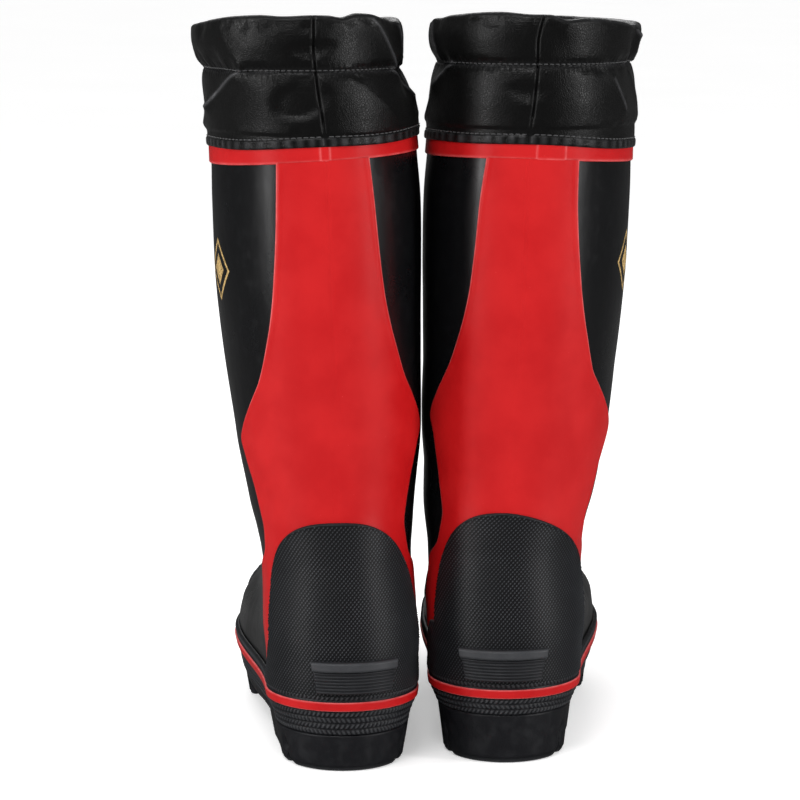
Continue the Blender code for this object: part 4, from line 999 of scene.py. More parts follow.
MARK_Z, MARK_SHARE, MARK_THICK = 261.0, 0.425, 0.08
MARK_HALF_TALL, MARK_HALF_WIDE, MARK_LINE = 17.0, 16.0, 2.4


def inside(boot):
    """The knitted sock."""
    z, offset = section((29.0, LINING[0]), (UPPER_TOP - 0.6, LINING[0]),
                        (UPPER_TOP, (LINING[0] + LINING[1]) / 2), (UPPER_TOP - 0.6, LINING[1]),
                        (28.0, LINING[1]), spacing=2.5)
    boot.wall("knitted_sock", z, all_round(300), offset, KNIT, slot="lining_fabric",
              stands_for=["lining"])


def gold_mark(boot):
    """A plain printed lozenge on the outer side of the shaft, within a thin frame."""
    turn = np.linspace(0, 2 * math.pi, 160, endpoint=False)
    reach = abs(np.cos(turn)) + abs(np.sin(turn))
    for part, sizes in (("gold_mark", (1.0, 1.0 - MARK_LINE / MARK_HALF_WIDE)),
                        ("gold_mark_core", (0.5, 0.02))):
        size = np.array(sizes)[:, None] / reach
        z = MARK_Z + MARK_HALF_TALL * np.sin(turn) * size
        share = MARK_SHARE + MARK_HALF_WIDE * np.cos(turn) * size / half_length(MARK_Z)
        boot.wall(part, z, share, MARK_THICK, GOLD, slot="black_rubber")


# ------------------------------------------------------------- the soft cuff
# Heights by angle round the boot, positive on the outer side, and folds as
# (angle, z) to (angle, z), height and width in millimetres.
RIM = {"left": ((-180, 393.6), (-140, 392.6), (-110, 395.5), (-80, 393.5), (-58, 395), (-40, 398.8),
                (-29, 399.6), (-17, 397.6), (-9, 398.6), (0, 398.8), (17, 398.2), (29, 398.8),
                (43, 398.1), (65, 395.5), (90, 392.6), (130, 392.5), (180, 393.6)),
       "right": ((-180, 393.0), (-130, 391.8), (-90, 391), (-70, 393), (-51, 395.7), (-24, 397.5),
                 (-7, 396.2), (3.6, 396), (14.8, 393.3), (27.5, 394), (57.5, 391.6),
                 (75, 389.4), (105, 390.5), (140, 391.6), (180, 393.0))}
CUFF_EDGE = {"left": (329.4, 2.8, 0.0), "right": (327.0, 2.2, 2.7)}
SEAM = {"left": ((320, -0.4), (336, 0.2), (351, 0.8), (369, -1.1), (400, -3.4)),
        "right": ((320, -0.5), (336, 0), (350, 1.2), (369, 2.2), (382, 2.0), (400, 5.4))}
FOLDS = {
    "left": (((42, 370), (76, 349), 2.4, 5.0), ((76, 349), (92, 338), 1.6, 5.0),
             ((-54, 370), (-70, 354), 1.7, 4.5), ((-70, 354), (-88, 334), 1.3, 5.0),
             ((-36, 400), (-56, 372), 1.9, 3.0), ((-59, 397), (-74, 372), 2.0, 3.0),
             ((40, 372), (50, 392), 0.7, 7.0), ((-20, 366), (-44, 344), 0.8, 7.0),
             ((120, 370), (150, 345), 1.6, 6.0), ((-120, 368), (-150, 346), 1.6, 6.0),
             ((135, 374), (118, 398), 1.6, 6.0), ((-130, 374), (-150, 398), 1.5, 6.0)),
    "right": (((-52, 370), (-68, 356), 1.8, 4.5), ((-68, 356), (-86, 334), 1.4, 5.0),
              ((-72, 394), (-64, 372), 1.6, 3.5), ((62, 396), (80, 384), 1.8, 3.0),
              ((80, 384), (84, 371), 1.6, 3.0), ((50, 361), (60, 345), 1.2, 5.0),
              ((70, 368), (86, 340), 1.2, 6.0), ((22, 398), (16, 388), 1.0, 6.0),
              ((124, 370), (150, 345), 1.6, 6.0), ((-125, 368), (-148, 346), 1.5, 6.0),
              ((140, 374), (120, 396), 1.6, 6.0), ((-128, 374), (-152, 396), 1.5, 6.0)),
}
# Hollows and swellings as angle, z, reach round, reach up, and height.
SWELLS = {
    "left": ((-104, 386, 14, 13, 3.2), (-74, 384, 6, 12, -2.2), (62, 362, 12, 9, -2.0),
             (-74, 363, 10, 8, -1.0), (15, 352, 26, 11, 0.9), (-35, 350, 20, 10, 0.8),
             (20, 384, 26, 8, 0.9), (-22, 382, 16, 8, -0.8), (75, 384, 18, 9, 0.8),
             (150, 385, 18, 10, 1.2), (-160, 352, 20, 11, 1.0), (110, 352, 16, 10, 1.0)),
    "right": ((104, 384, 13, 12, 3.2), (74, 382, 6, 11, -2.0), (-74, 364, 10, 8, -1.0),
              (72, 362, 10, 9, -1.2), (-20, 351, 26, 11, 0.9), (32, 350, 20, 11, 0.9),
              (-28, 385, 26, 8, 1.0), (12, 382, 9, 9, -0.7), (-85, 383, 14, 9, 1.0),
              (-150, 385, 18, 10, 1.2), (160, 352, 20, 11, 1.0), (-112, 352, 16, 10, 1.0)),
}
WAIST_LENGTH = float(half_length(HEM_LOW))
WAIST_SHARES = SHARE_OF_ANGLE[int(HEM_LOW - TABLE_Z[0])]
STITCH_PITCH, STITCH_LONG = 3.1, 2.3


def turn_at(share):
    """An angle of 180 at the front for any share, close to the angle round the back."""
    size = abs(wrapped(share))
    back = np.interp(size, WAIST_SHARES[:91], TABLE_ANGLE[:91])
    quarter = WAIST_SHARES[90]
    return np.sign(wrapped(share)) * np.where(size < quarter, back,
                                              90 + 90 * (size - quarter) / (1 - quarter))


def along_of_turn(angle):
    """Millimetres round the waist for an angle, the other way about from turn_at."""
    shares = np.linspace(-1, 1, 721)
    return np.interp(angle, turn_at(shares * 0.9999), shares) * WAIST_LENGTH


def fold_distances(boot, share, z):
    """The distance to each fold's crest, with its height and width."""
    along = wrapped(share) * WAIST_LENGTH
    for (angle0, z0), (angle1, z1), height, width in FOLDS[boot.name]:
        a, b = float(along_of_turn(angle0)), float(along_of_turn(angle1))
        dx, dz = b - a, z1 - z0
        t = np.clip(((along - a) * dx + (z - z0) * dz) / (dx * dx + dz * dz), 0, 1)
        yield np.hypot(along - a - t * dx, z - z0 - t * dz), height, width


def crests(boot, share, z):
    """Painted highlight along the edges of the narrower folds."""
    return sum(min(height / 2, 1) * bump(away, 0, 0.9)
               for away, height, width in fold_distances(boot, share, z) if width < 5.5) * 0.9


def folds(boot, share, z):
    """How far the modelled folds stand out from the cuff."""
    turn = turn_at(share)
    total = np.zeros(np.broadcast(share, z).shape)
    for away, height, width in fold_distances(boot, share, z):
        total = total + 1.15 * height * np.exp(-(np.sqrt(away ** 2 + 0.16) / width) ** 1.1)
    for angle, at, reach, tall, height in SWELLS[boot.name]:
        gap = (turn - angle + 180) % 360 - 180
        total = total + height * np.exp(-(gap / reach) ** 2 - ((z - at) / tall) ** 2)
    return total * smooth_step(z, CUFF_LOW, CUFF_LOW + 9)


SIM_SCALE, SIM_FRAMES, SIM_CAP = 20.0, 20, 1.3
SIM_Z = np.linspace(CUFF_LOW, 398.0, 36)
SIM_COLUMNS = 192


def drape(boot):
    """Lets the cuff's leather settle as cloth between its seams and keeps how far
    it moved in or out, in millimetres."""
    boot.fold_table = np.zeros((len(SIM_Z), SIM_COLUMNS + 1))
    share = all_round(SIM_COLUMNS)
    z = SIM_Z[:, None] + 0 * share
    start = boot.skin(z, share, 2.0 + 0.5 * folds(boot, share, z)) * SIM_SCALE
    sheet = build(boot.name + "_draping", start,
                  grid_quads(len(SIM_Z), SIM_COLUMNS, wrap_columns=True), PANEL_LEATHER)
    pins = sheet.vertex_groups.new(name="sewn")
    for row, height in enumerate(SIM_Z):
        hold = max(float(height < 336.0), 0.9 * float(abs(height - HEM_LOW) < 1.2),
                   0.9 * float(height > 396.0))
        if hold:
            pins.add(list(range(row * SIM_COLUMNS, (row + 1) * SIM_COLUMNS)), hold, "REPLACE")
    cloth = sheet.modifiers.new("leather", "CLOTH")
    settings = cloth.settings
    settings.quality = 6
    settings.mass = 0.4
    settings.tension_stiffness = settings.compression_stiffness = 30
    settings.shear_stiffness = 12
    settings.bending_stiffness = 3.0
    settings.shrink_min = -0.05
    settings.vertex_group_mass = "sewn"
    settings.effector_weights.gravity = 0.0
    cloth.point_cache.frame_start, cloth.point_cache.frame_end = 1, SIM_FRAMES
    scene = bpy.context.scene
    for frame_number in range(1, SIM_FRAMES + 1):
        scene.frame_set(frame_number)
    settled = sheet.evaluated_get(bpy.context.evaluated_depsgraph_get()).to_mesh()
    points = np.empty(len(settled.vertices) * 3, np.float32)
    settled.vertices.foreach_get("co", points)
    moved = (points.reshape(start.shape) - start) / SIM_SCALE / MM
    out = boot.skin(z, share, 3.0) - boot.skin(z, share, 2.0)
    out /= np.linalg.norm(out, axis=-1, keepdims=True)
    swell = np.clip((moved * out).sum(axis=-1) - 0.3, -SIM_CAP, SIM_CAP / 2)
    swell = (swell + np.roll(swell, 1, axis=1) + np.roll(swell, -1, axis=1)) / 3
    boot.fold_table[:, :-1], boot.fold_table[:, -1] = swell, swell[:, 0]
    bpy.data.objects.remove(sheet)
    scene.frame_set(1)


def cuff_relief(boot, share, z):
    """Folds, the settled leather, the back seam and the waist's puckered stitching."""
    share, z = np.broadcast_arrays(share, z)
    rows = (z - SIM_Z[0]) / (SIM_Z[1] - SIM_Z[0])
    settled = sampled(boot.fold_table, rows, (wrapped(share) + 1) / 2 * SIM_COLUMNS)
    along = share * WAIST_LENGTH
    seam_share = share_at_angle(z, smooth_curve(SEAM[boot.name])(z))
    gap = (wrapped(share) - seam_share) * WAIST_LENGTH
    seam = -1.3 * bump(gap, 0, 0.6) - 0.45 * bump(gap, 0, 3.5) + 0.25 * bump(abs(gap), 2.2, 1.2)
    pucker = np.sin(2 * math.pi * along / STITCH_PITCH + 1.3 * np.sin(along / 9.0))
    waist = -1.0 * bump(z, HEM_LOW, 0.8) - 0.7 * bump(z, HEM_LOW, 4.5) \
        + 0.22 * pucker * bump(z, HEM_LOW, 3.0)
    return folds(boot, share, z) + settled + seam + waist


def cuff_edge(boot, share):
    return tilted(CUFF_EDGE, boot, share) + 0.35 * np.sin(5 * math.pi * share + 1)


def cuff_columns():
    """Shares round the cuff, close together at the back seam."""
    near = np.array([-6, -4.5, -3.4, -2.6, -2.0, -1.5, -1.1, -0.8, -0.55, -0.35, -0.15, 0])
    near = np.concatenate([near, -near[-2::-1]]) / WAIST_LENGTH
    coarse = all_round(540)[0]
    return np.sort(np.concatenate([coarse[abs(coarse) > 6.5 / WAIST_LENGTH], near]))[None, :]


def seamed(boot, share, z):
    """Moves columns sideways so that the middle one follows the back seam."""
    shift = share_at_angle(z, smooth_curve(SEAM[boot.name])(z))
    return share + shift * np.exp(-(share * WAIST_LENGTH / 32) ** 2)


SQUASH_KEEP = 1 - 24.0 / (HEM_LOW - CUFF_LOW)
# Below this height the lower tier lies over the red band when the cuff is down.
BAND_COVER = CUFF_LOW + (UPPER_TOP + 1 - CUFF_LOW) / SQUASH_KEEP
HEM_STRIP = 5.2
# How far the two tiers of the cuff run past each other inside the waist.
LAPPED = 0.25


def cuff_tube(boot):
    """The lower tier of the cuff, with its folded and stitched bottom edge."""
    columns = cuff_columns()
    low = cuff_edge(boot, columns)
    t = np.concatenate([[0, 0], np.linspace(0.001, 1, 84)])[:, None]
    z = low + (HEM_LOW + LAPPED - low) * t
    share = seamed(boot, columns, z)
    above = z - low
    along = share * WAIST_LENGTH
    pucker = np.sin(2 * math.pi * along / 6.7 + 2.6 * np.sin(along / 11) + 1.7 * np.sin(along / 29))
    strip = rolled(above, 1.0) * (1 - smooth_step(above, HEM_STRIP - 1.2, HEM_STRIP)) * 0.75 \
        + 0.16 * pucker * bump(above, HEM_STRIP * 0.5, 1.8) \
        - 0.45 * bump(above, HEM_STRIP + 0.1, 0.45)
    outside = CUFF[1] - 0.5 + strip + cuff_relief(boot, share, np.maximum(z, low))
    over_band = np.where(z < BAND_COVER, BAND[1] + 0.5, -9)
    outside = np.maximum(outside, over_band)
    outside[0] = BAND[1] + 0.15
    outside[-1] = outside[-1] * 0 + CUFF[0] - 0.6
    back = np.linspace(1, 0, 24)[:, None]
    z_inner = low + (HEM_LOW + LAPPED - low) * back
    share_inner = seamed(boot, columns, z_inner)
    relief = cuff_relief(boot, share_inner, z_inner) \
        * smooth_step(z_inner, UPPER_TOP, UPPER_TOP + 4)
    inner = np.maximum(CUFF[0] - 0.7 + relief, np.where(z_inner < BAND_COVER, BAND[1] + 0.1, -9))
    # Painted highlight on the hem strip's puckers, along the waist line and on the fold crests; none on the
    # inside.
    wear = np.clip(strip, 0, 1) * (0.2 + 0.2 * pucker) + bump(z, HEM_LOW, 1.5) * 0.2
    wear = np.concatenate([wear + crests(boot, share, z), 0 * z_inner])
    made = boot.wall("cuff_tube", np.concatenate([z, z_inner]),
                     np.concatenate([share, share_inner]),
                     np.concatenate([outside, inner]), PANEL_LEATHER, wrap_rows=True,
                     stands_for=["cuff_panel"], slot="black_leather", wear=wear)
    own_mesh(made)


def rim_height(boot, share):
    return smooth_curve(RIM[boot.name])(turn_at(share))


def cuff_hem(boot):
    """The upper tier, folded over the drawcord and back down inside."""
    columns = cuff_columns()
    top = rim_height(boot, columns)
    t = np.linspace(0, 1, 60)[:, None]
    z_out = HEM_LOW + (top - 2.6 - HEM_LOW) * t
    share = seamed(boot, columns, z_out)
    fade = 1 - 0.35 * smooth_step(z_out, 392, 400)
    outer = CUFF[1] - 0.5 + cuff_relief(boot, share, z_out) * fade
    outer[0] = CUFF[0] - 0.6
    turn = np.linspace(0, math.pi, 18)[1:-1, None]
    rim_out, rim_in = outer[-1:], HEM_INNER + 0.6 * (outer[-1:] - CUFF[1])
    middle, half = (rim_out + rim_in) / 2, (rim_out - rim_in) / 2
    z_rim = top - 2.6 + 2.6 * np.sin(turn)
    over = middle + half * np.cos(turn)
    back = np.linspace(1, 0, 30)[:, None]
    z_in = HEM_LOW + (top - 2.6 - HEM_LOW) * back
    share_in = seamed(boot, columns, z_in)
    inner = HEM_INNER + 0.6 * cuff_relief(boot, share_in, z_in) * smooth_step(z_in, 372, 384) \
        + 1.6 * bump(z_in, HEM_LOW, 3)
    z = np.concatenate([z_out, z_rim, z_in])
    offset = np.concatenate([outer, over, inner])
    # Painted highlight along the waist line, the fold crests and the top of the rolled rim; none inside.
    wear = np.concatenate([bump(z_out, HEM_LOW, 1.5) * 0.2 + crests(boot, share, z_out),
                           np.sin(turn) * 0.3 + 0 * z_rim, 0 * z_in])
    share = np.concatenate([share, seamed(boot, columns, z_rim), share_in])
    boot.wall("rolled_hem", z, share, offset, HEM_LEATHER, wrap_rows=True, body="cuff",
              stands_for=["cuff_hem"], slot="black_leather", wear=wear)


def stitches(boot, part, z_of, offset_of, radius, body):
    """A row of short threads lying on the leather."""
    count = int(round(2 * WAIST_LENGTH / STITCH_PITCH))
    starts = (np.arange(count) + 0.5) / count * 2 - 1
    parts = []
    for start in starts:
        t = np.linspace(-0.5, 0.5, 6)
        share = start + t * STITCH_LONG / WAIST_LENGTH
        z = z_of(share)
        sink = 0.55 - 2.4 * t ** 2
        path = boot.skin(z, share, offset_of(share, z) + radius * sink)
        parts.append(tube(path, radius * MM * np.array([0.5, 0.9, 1, 1, 0.9, 0.5]), 6))
    points, quads = joined(parts)
    return boot.add(part, points, quads, THREAD, body=body, slot="black_leather")


def all_stitches(boot):
    def outer(share, z):
        return CUFF[1] - 0.5 + cuff_relief(boot, share, z)

    stitches(boot, "waist_stitches", lambda s: HEM_LOW + 0.75 + 0 * s, outer, 0.32, "cuff")
    row = stitches(boot, "strip_stitches", lambda s: cuff_edge(boot, s) + HEM_STRIP + 0.1,
                   lambda s, z: outer(s, z) + 0.1, 0.3, "boot")
    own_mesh(row)


# --------------------------------------------------------- drawcord and lock
CORD_RADIUS, TAIL_HALF_PITCH, TAILS_MEET, BRAID_PITCH = 2.0, 2.4, 9.0, 7.0
EYELET_BORE, EYELET_BARREL, EYELET_FLANGE = 2.4, 3.2, 4.2


def node_points(name):
    mesh = frame["nodes"][name].data
    points = np.empty(len(mesh.vertices) * 3, np.float32)
    mesh.vertices.foreach_get("co", points)
    return points.reshape(-1, 3).astype(float)


def middle_of(points):
    return (points.min(axis=0) + points.max(axis=0)) / 2


class CordFrame:
    """Axes of a boot's drawcord: outward, forward and up, from its eyelets."""

    def __init__(self, boot):
        places = [middle_of(node_points(f"{boot.name}_eyelet_{k}")) for k in ("outer", "inner")]
        self.x = (places[0] - places[1]) * (1, 1, 0)
        self.x /= np.linalg.norm(self.x)
        self.forward = np.cross((0, 0, 1.0), self.x) * -boot.side
        self.eyelets = places
        tail, lock = (node_points(f"{boot.name}_{node}")
                      for node in ("drawcord_tail", "cord_lock_body"))
        self.front = (tail @ self.forward).max() / MM - 1.9
        self.middle = middle_of(tail @ self.x) / MM
        self.bottom = tail[:, 2].min() / MM
        self.lock_x = (lock @ self.x).min() / MM + 14.5
        self.lock_z = middle_of(lock)[2] / MM

    def at(self, x, forward, z):
        """World metres from millimetres along the three axes."""
        x, forward, z = np.broadcast_arrays(x, forward, z)
        return (x[..., None] * self.x + forward[..., None] * self.forward
                + z[..., None] * np.array([0, 0, 1.0])) * MM


def eyelet_rings(boot, place):
    for part, centre in zip(("outer", "inner"), place.eyelets):
        points = node_points(f"{boot.name}_eyelet_{part}") - centre
        axis = np.linalg.svd(points, full_matrices=False)[2][2]
        axis *= np.sign(axis @ place.forward)
        profile = rounded_profile(((-0.95, 2.75), (-0.95, EYELET_BORE), (0.95, EYELET_BORE),
                                   (0.95, EYELET_FLANGE), (0.25, EYELET_FLANGE),
                                   (0.25, EYELET_BARREL), (-0.95, EYELET_BARREL), (-0.95, 2.8)),
                                  0.45)
        rings, quads = turned([(a * MM, r * MM) for a, r in profile], 64, centre, axis)
        boot.add(f"brass_free_eyelet_{part}", rings, quads, STEEL, body="cuff",
                 stands_for=[f"eyelet_{part}"], slot="steel")


def cord_tails(boot, place):
    """The two cord ends, joined by a loop under the lock."""
    start = [np.array([c @ place.x, c @ place.forward, c[2]]) / MM + (0, 3.4, 0)
             for c in place.eyelets]
    middle, front, bottom = place.middle, place.front, place.bottom
    half = []
    reach = front - start[0][1]
    for t in np.linspace(0, 1, 26):
        turn = math.pi / 2 * t
        x = start[0][0] + (middle + TAIL_HALF_PITCH - start[0][0]) * t * 0.35
        half.append((x, start[0][1] + reach * math.sin(turn),
                     start[0][2] - reach * (1 - math.cos(turn))))
    bend_end = half[-1]
    low = bottom + CORD_RADIUS + TAIL_HALF_PITCH
    for t in np.linspace(0, 1, 22)[1:]:
        x = bend_end[0] + (middle + TAIL_HALF_PITCH - bend_end[0]) * smooth_step(t, 0, 1)
        half.append((x, front, bend_end[2] - TAILS_MEET * t))
    for z in np.linspace(bend_end[2] - TAILS_MEET, low, 90)[1:]:
        half.append((middle + TAIL_HALF_PITCH, front, z))
    loop = [(middle + TAIL_HALF_PITCH * math.cos(t), front, low - TAIL_HALF_PITCH * math.sin(t))
            for t in np.linspace(0, math.pi, 16)[1:-1]]
    mirrored = [(2 * middle - x, u, z) for x, u, z in reversed(half)]
    path = np.array(half + loop + mirrored)
    length = np.concatenate([[0], np.cumsum(np.linalg.norm(np.diff(path, axis=0), axis=1))])
    even = np.arange(0, length[-1], 0.42)
    path = np.stack([np.interp(even, length, path[:, i]) for i in range(3)], axis=1)
    sides = 32
    turn = np.linspace(0, 2 * math.pi, sides, endpoint=False)[None, :]
    along = even[:, None]
    strands = np.maximum(np.cos(4 * turn + 2 * math.pi * along / BRAID_PITCH),
                         np.cos(4 * turn - 2 * math.pi * along / BRAID_PITCH))
    to_end = np.minimum(along, even[-1] - along) / CORD_RADIUS
    ends = np.sqrt(np.clip(1 - (1 - to_end).clip(0) ** 2, 0.02, 1))
    radius = (CORD_RADIUS - 0.22 + 0.2 * strands) * ends
    points, quads = tube(place.at(*path.T), radius * MM, sides)
    wear = np.concatenate([strands[:1], strands, strands[-1:]]).clip(0, 1)
    boot.add("braided_cord_ends", points, quads, CORD, body="cord",
             stands_for=["drawcord_tail"], slot="black_cord", wear=wear)


LOCK_LOW, LOCK_HIGH, LOCK_DEPTH, LOCK_TALL = -14.5, 13.0, 11.4, 14.0
LOCK_BORE, BUTTON_RADIUS, BUTTON_TRAVEL = 3.95, 3.6, 3.0
CORD_WINDOW, WINDOW_DEPTH, WINDOW_REACH = 4.8, 2.4, 14.0
SPRING_LOW, SPRING_HIGH, SPRING_TURNS, SPRING_RADIUS, WIRE_RADIUS = -12.1, -6.9, 4, 2.9, 0.33


def capped(points):
    """Closes a tube of rings with a point at the middle of each end."""
    ends = [np.repeat(points[i].mean(axis=0)[None, None], points.shape[1], 1) for i in (0, -1)]
    return np.concatenate([ends[0], points, ends[1]])


def box_solid(place, x, forward, z):
    corners = np.array([place.at(a, b, c) for c in z for b in forward for a in x])
    quads = np.array([(0, 2, 3, 1), (4, 5, 7, 6), (0, 1, 5, 4), (2, 6, 7, 3), (0, 4, 6, 2),
                      (1, 3, 7, 5)])
    return corners, quads


def applied(made):
    """Makes a piece's modifiers part of its mesh."""
    bpy.context.view_layer.update()
    done = made.evaluated_get(bpy.context.evaluated_depsgraph_get())
    mesh = bpy.data.meshes.new_from_object(done)
    made.modifiers.clear()
    made.data = mesh
    return made


def carved(made, cutters):
    """Cuts bodies away for good and removes the cutters."""
    for cutter in cutters:
        change = made.modifiers.new("cut", "BOOLEAN")
        change.operation, change.solver, change.object = "DIFFERENCE", "EXACT", cutter
    crisp(applied(made).data)
    for cutter in cutters:
        bpy.data.objects.remove(cutter)


def crisp(mesh):
    """Smooth shading with sharp edges where faces meet steeply."""
    mesh.shade_smooth()
    mesh.set_sharp_from_angle(angle=math.radians(35))


def welded(made):
    """Merges the coincident points of a capped body so that it can be cut."""
    made.modifiers.new("weld", "WELD").merge_threshold = 1e-6
    return applied(made)


def cord_lock(boot, place):
    """The moulded lock and its button, both open for the cord, and the spring."""
    x0, z0, front = place.lock_x, place.lock_z, place.front
    corner, steps = 3.0, 64
    turn = (np.arange(steps) + 0.5) / steps * 2 * math.pi
    u = np.sign(np.cos(turn)) * (LOCK_DEPTH / 2 - corner) + corner * np.cos(turn)
    z = np.sign(np.sin(turn)) * (LOCK_TALL / 2 - corner) + corner * np.sin(turn)
    stations = [(LOCK_LOW, 0.86), (LOCK_LOW + 0.15, 0.92), (LOCK_LOW + 0.5, 0.97),
                (LOCK_LOW + 1.1, 1.0), (LOCK_HIGH - 1.1, 1.0), (LOCK_HIGH - 0.5, 0.97),
                (LOCK_HIGH - 0.15, 0.92), (LOCK_HIGH, 0.86)]
    waist = [(x, 1.0 - 0.05 * bump(x, -1, 7)) for x in np.linspace(-10, 9, 16)]
    stations = stations[:4] + waist + stations[4:]
    rings = np.array([place.at(x0 + x, front + u * s, z0 + z * s) for x, s in stations])

    def closed(name, rings):
        quads = grid_quads(len(rings) + 2, steps, wrap_columns=True)
        return welded(build(name, capped(rings), quads, PLASTIC))

    def rod(name, profile):
        return closed(name, np.array([place.at(x0 + a, front + r * np.cos(turn),
                                               z0 + r * np.sin(turn)) for a, r in profile]))

    def window(low, high):
        points, quads = box_solid(place, (x0 + low, x0 + high),
                                  (front - WINDOW_DEPTH, front + WINDOW_DEPTH),
                                  (z0 - WINDOW_REACH, z0 + WINDOW_REACH))
        return build("window", points, quads, PLASTIC)

    body = closed(f"{boot.name}_lock_body", rings)
    carved(body, [rod("bore", ((-12.8, LOCK_BORE), (18.0, LOCK_BORE))),
                  window(-CORD_WINDOW, CORD_WINDOW)])
    button = rod(f"{boot.name}_lock_button", rounded_profile(
        ((-6.2, 3.1), (-6.2, BUTTON_RADIUS), (16.3, BUTTON_RADIUS), (16.3, 5.2), (18.4, 5.2),
         (18.4, 2.5)), 0.5, 4))
    carved(button, [window(-CORD_WINDOW, CORD_WINDOW + BUTTON_TRAVEL)])
    for made, part, node in ((body, "lock", "cord_lock_body"),
                             (button, "button", "cord_lock_button")):
        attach(made, f"{boot.name}_{part}")
        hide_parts(f"{boot.name}_{node}")
    lock_spring(boot, place)


def lock_spring(boot, place):
    """The spring behind the button."""
    t = np.linspace(0, 1, SPRING_TURNS * 40 + 1)
    long, winding = SPRING_HIGH - SPRING_LOW, 2 * math.pi * SPRING_TURNS * t
    path = place.at(place.lock_x + SPRING_LOW + long * t,
                    place.front + SPRING_RADIUS * np.cos(winding),
                    place.lock_z + SPRING_RADIUS * np.sin(winding))
    points, quads = tube(path, WIRE_RADIUS * MM, 12)
    spring = boot.add("lock_spring", points, quads, STEEL, body="lock",
                      stands_for=["cord_lock_spring"], slot="steel")
    anchor = place.at(place.lock_x + SPRING_LOW - 0.3, place.front, place.lock_z)
    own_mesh(spring)


HIDDEN_FINISH = {"midsole_filler": FILLER_FOAM, "steel_midsole_plate": STEEL,
                 "insole_board": BOARD, "removable_insole": INSOLE_FOAM, "steel_toe_cap": STEEL,
                 "heel_stiffener": BOARD, "drawcord_loop": CORD}


def dress(boot):
    """Lays every piece over one boot and gives its hidden nodes their finishes."""
    drape(boot)
    for part in (shaft, back_panel, counter, spur, foxing, stripe, top_band, toe_guard,
                 outsole, inside, gold_mark, cuff_tube, cuff_hem, all_stitches):
        part(boot)
    place = CordFrame(boot)
    for part in (eyelet_rings, cord_tails, cord_lock):
        part(boot, place)
    for node, finish in HIDDEN_FINISH.items():
        mesh = frame["nodes"][f"{boot.name}_{node}"].data
        mesh.materials.clear()
        mesh.materials.append(finish)
        crisp(mesh)


BOOTS = [Boot("left"), Boot("right")]
for each_boot in BOOTS:
    dress(each_boot)


# ------------------------------------------------------- floor, light, camera
FLOOR_HALF = 30.0           # metres
FLOOR_PALE, FLOOR_MIRRORED, FLOOR_GLOW = 0.93, 0.12, 0.38
SKY, SKY_MIRRORED, SKY_SEEN = 0.75, 0.08, 1.0


def by_ray(f, seen, mirrored):
    """One value where it is seen or lights things, and another in reflections."""
    glossy = f.node("ShaderNodeLightPath").outputs["Is Glossy Ray"]
    return f.math("ADD", seen, f.math("MULTIPLY", glossy, mirrored - seen))


def floor():
    f = Finish("studio_floor", roughness=0.6)
    f.set("Specular IOR Level", 0.1)
    shade = f.ramp(f.noise(600, 2), 0.2, 0.8, 0.96, 1.0)
    pale = f.math("MULTIPLY", shade, by_ray(f, FLOOR_PALE, FLOOR_MIRRORED))
    grey = f.node("ShaderNodeCombineColor")
    for socket in grey.inputs:
        f.link(pale, socket)
    f.colour(grey.outputs[0])
    f.set("Emission Color", (1.0, 1.0, 1.0, 1.0))
    seen = f.node("ShaderNodeLightPath").outputs["Is Camera Ray"]
    f.set("Emission Strength", f.math("MULTIPLY", seen, FLOOR_GLOW))
    f.relief(f.noise(3, 3), 0.02)
    corners = [(x * FLOOR_HALF, y * FLOOR_HALF, 0) for x, y in ((-1, -1), (1, -1), (1, 1), (-1, 1))]
    build("studio_floor", corners, [(0, 1, 2, 3)], f.material)


def softbox(name, place, aim, size, power):
    """A rectangular lamp, placed and aimed in metres, with its power in watts."""
    light = bpy.data.lights.new(name, "AREA")
    light.shape, light.size, light.size_y, light.energy = "RECTANGLE", size[0], size[1], power
    made = bpy.data.objects.new(name, light)
    made.location = place
    direction = Vector(aim) - Vector(place)
    made.rotation_mode = "QUATERNION"
    made.rotation_quaternion = direction.to_track_quat("-Z", "Y")
    bpy.context.scene.collection.objects.link(made)


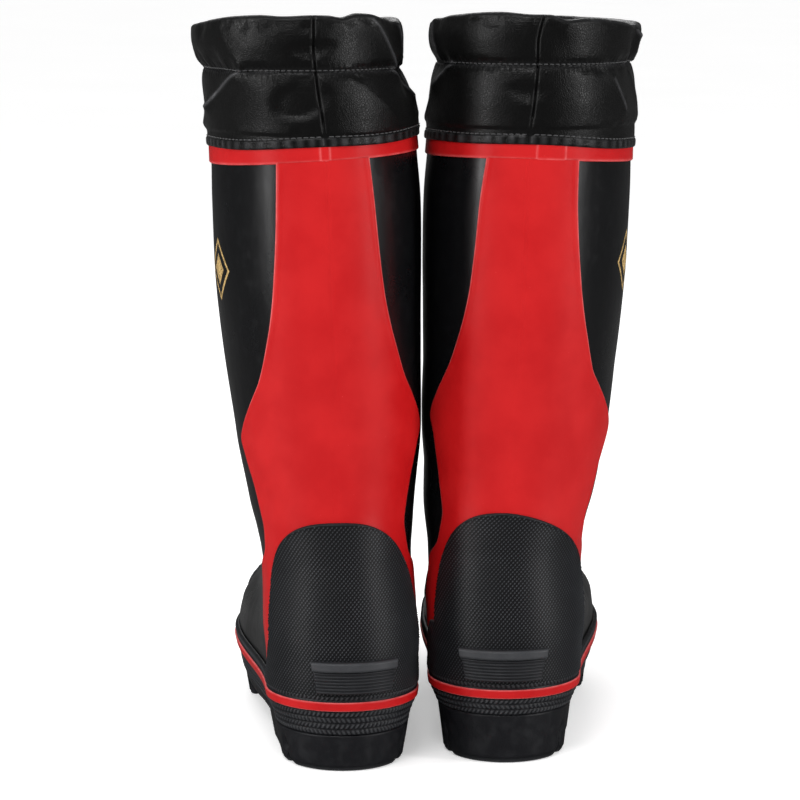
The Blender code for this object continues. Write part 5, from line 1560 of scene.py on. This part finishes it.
def studio():
    world = bpy.data.worlds.new("studio")
    world.use_nodes = True
    tree = world.node_tree
    background = tree.nodes["Background"]
    background.inputs["Color"].default_value = (1.0, 1.0, 1.0, 1.0)
    path = tree.nodes.new("ShaderNodeLightPath")
    into = background.inputs["Strength"]
    for ray, value in (("Is Camera Ray", SKY_SEEN), ("Is Glossy Ray", SKY_MIRRORED)):
        step = tree.nodes.new("ShaderNodeMath")
        step.operation = "MULTIPLY_ADD"
        tree.links.new(path.outputs[ray], step.inputs[0])
        step.inputs[1].default_value = value - SKY
        tree.links.new(step.outputs[0], into)
        into = step.inputs[2]
    into.default_value = SKY
    bpy.context.scene.world = world
    bpy.context.scene.view_settings.view_transform = "Standard"
    softbox("key", (0.5, 1.7, 2.1), (0, 0.05, 0.2), (1.1, 0.8), 24.0)
    softbox("left_side", (2.0, 1.0, 0.75), (0.05, 0.05, 0.22), (0.4, 1.6), 22.0)
    softbox("right_side", (-2.0, 1.0, 0.75), (-0.05, 0.05, 0.22), (0.4, 1.6), 22.0)
    softbox("front", (0.2, -2.2, 1.6), (0, 0, 0.2), (1.2, 0.9), 12.0)


CAMERA_AWAY, CAMERA_ACROSS, CAMERA_HEIGHT = 1773.0, -27.9, 440.0
LENS, SENSOR, SHIFT_DOWN = 152.3, 36.0, -0.5825


def lower_frame(made):
    """Shifts the picture down while the camera stands at its own height, and from nowhere else."""
    curve = made.data.driver_add("shift_y")
    curve.driver.type = "AVERAGE"
    height = curve.driver.variables.new()
    height.type = "TRANSFORMS"
    height.targets[0].id = made
    height.targets[0].transform_type = "LOC_Z"
    for change in list(curve.modifiers):
        curve.modifiers.remove(change)
    curve.keyframe_points.add(3)
    for key, away, shift in zip(curve.keyframe_points, (-1, 0, 1), (0.0, SHIFT_DOWN, 0.0)):
        key.co = ((CAMERA_HEIGHT + away) * MM, shift)
        key.interpolation = "LINEAR"


def camera():
    data = bpy.data.cameras.new("camera")
    data.lens, data.sensor_width = LENS, SENSOR
    data.clip_start, data.clip_end = 0.05, 200.0
    made = bpy.data.objects.new("camera", data)
    left = BOOTS[0].origin
    made.location = (left[0] + CAMERA_ACROSS * MM, left[1] + CAMERA_AWAY * MM, CAMERA_HEIGHT * MM)
    made.rotation_euler = (math.pi / 2, 0, math.pi)
    lower_frame(made)
    bpy.context.scene.collection.objects.link(made)
    bpy.context.scene.camera = made


floor()
studio()
camera()
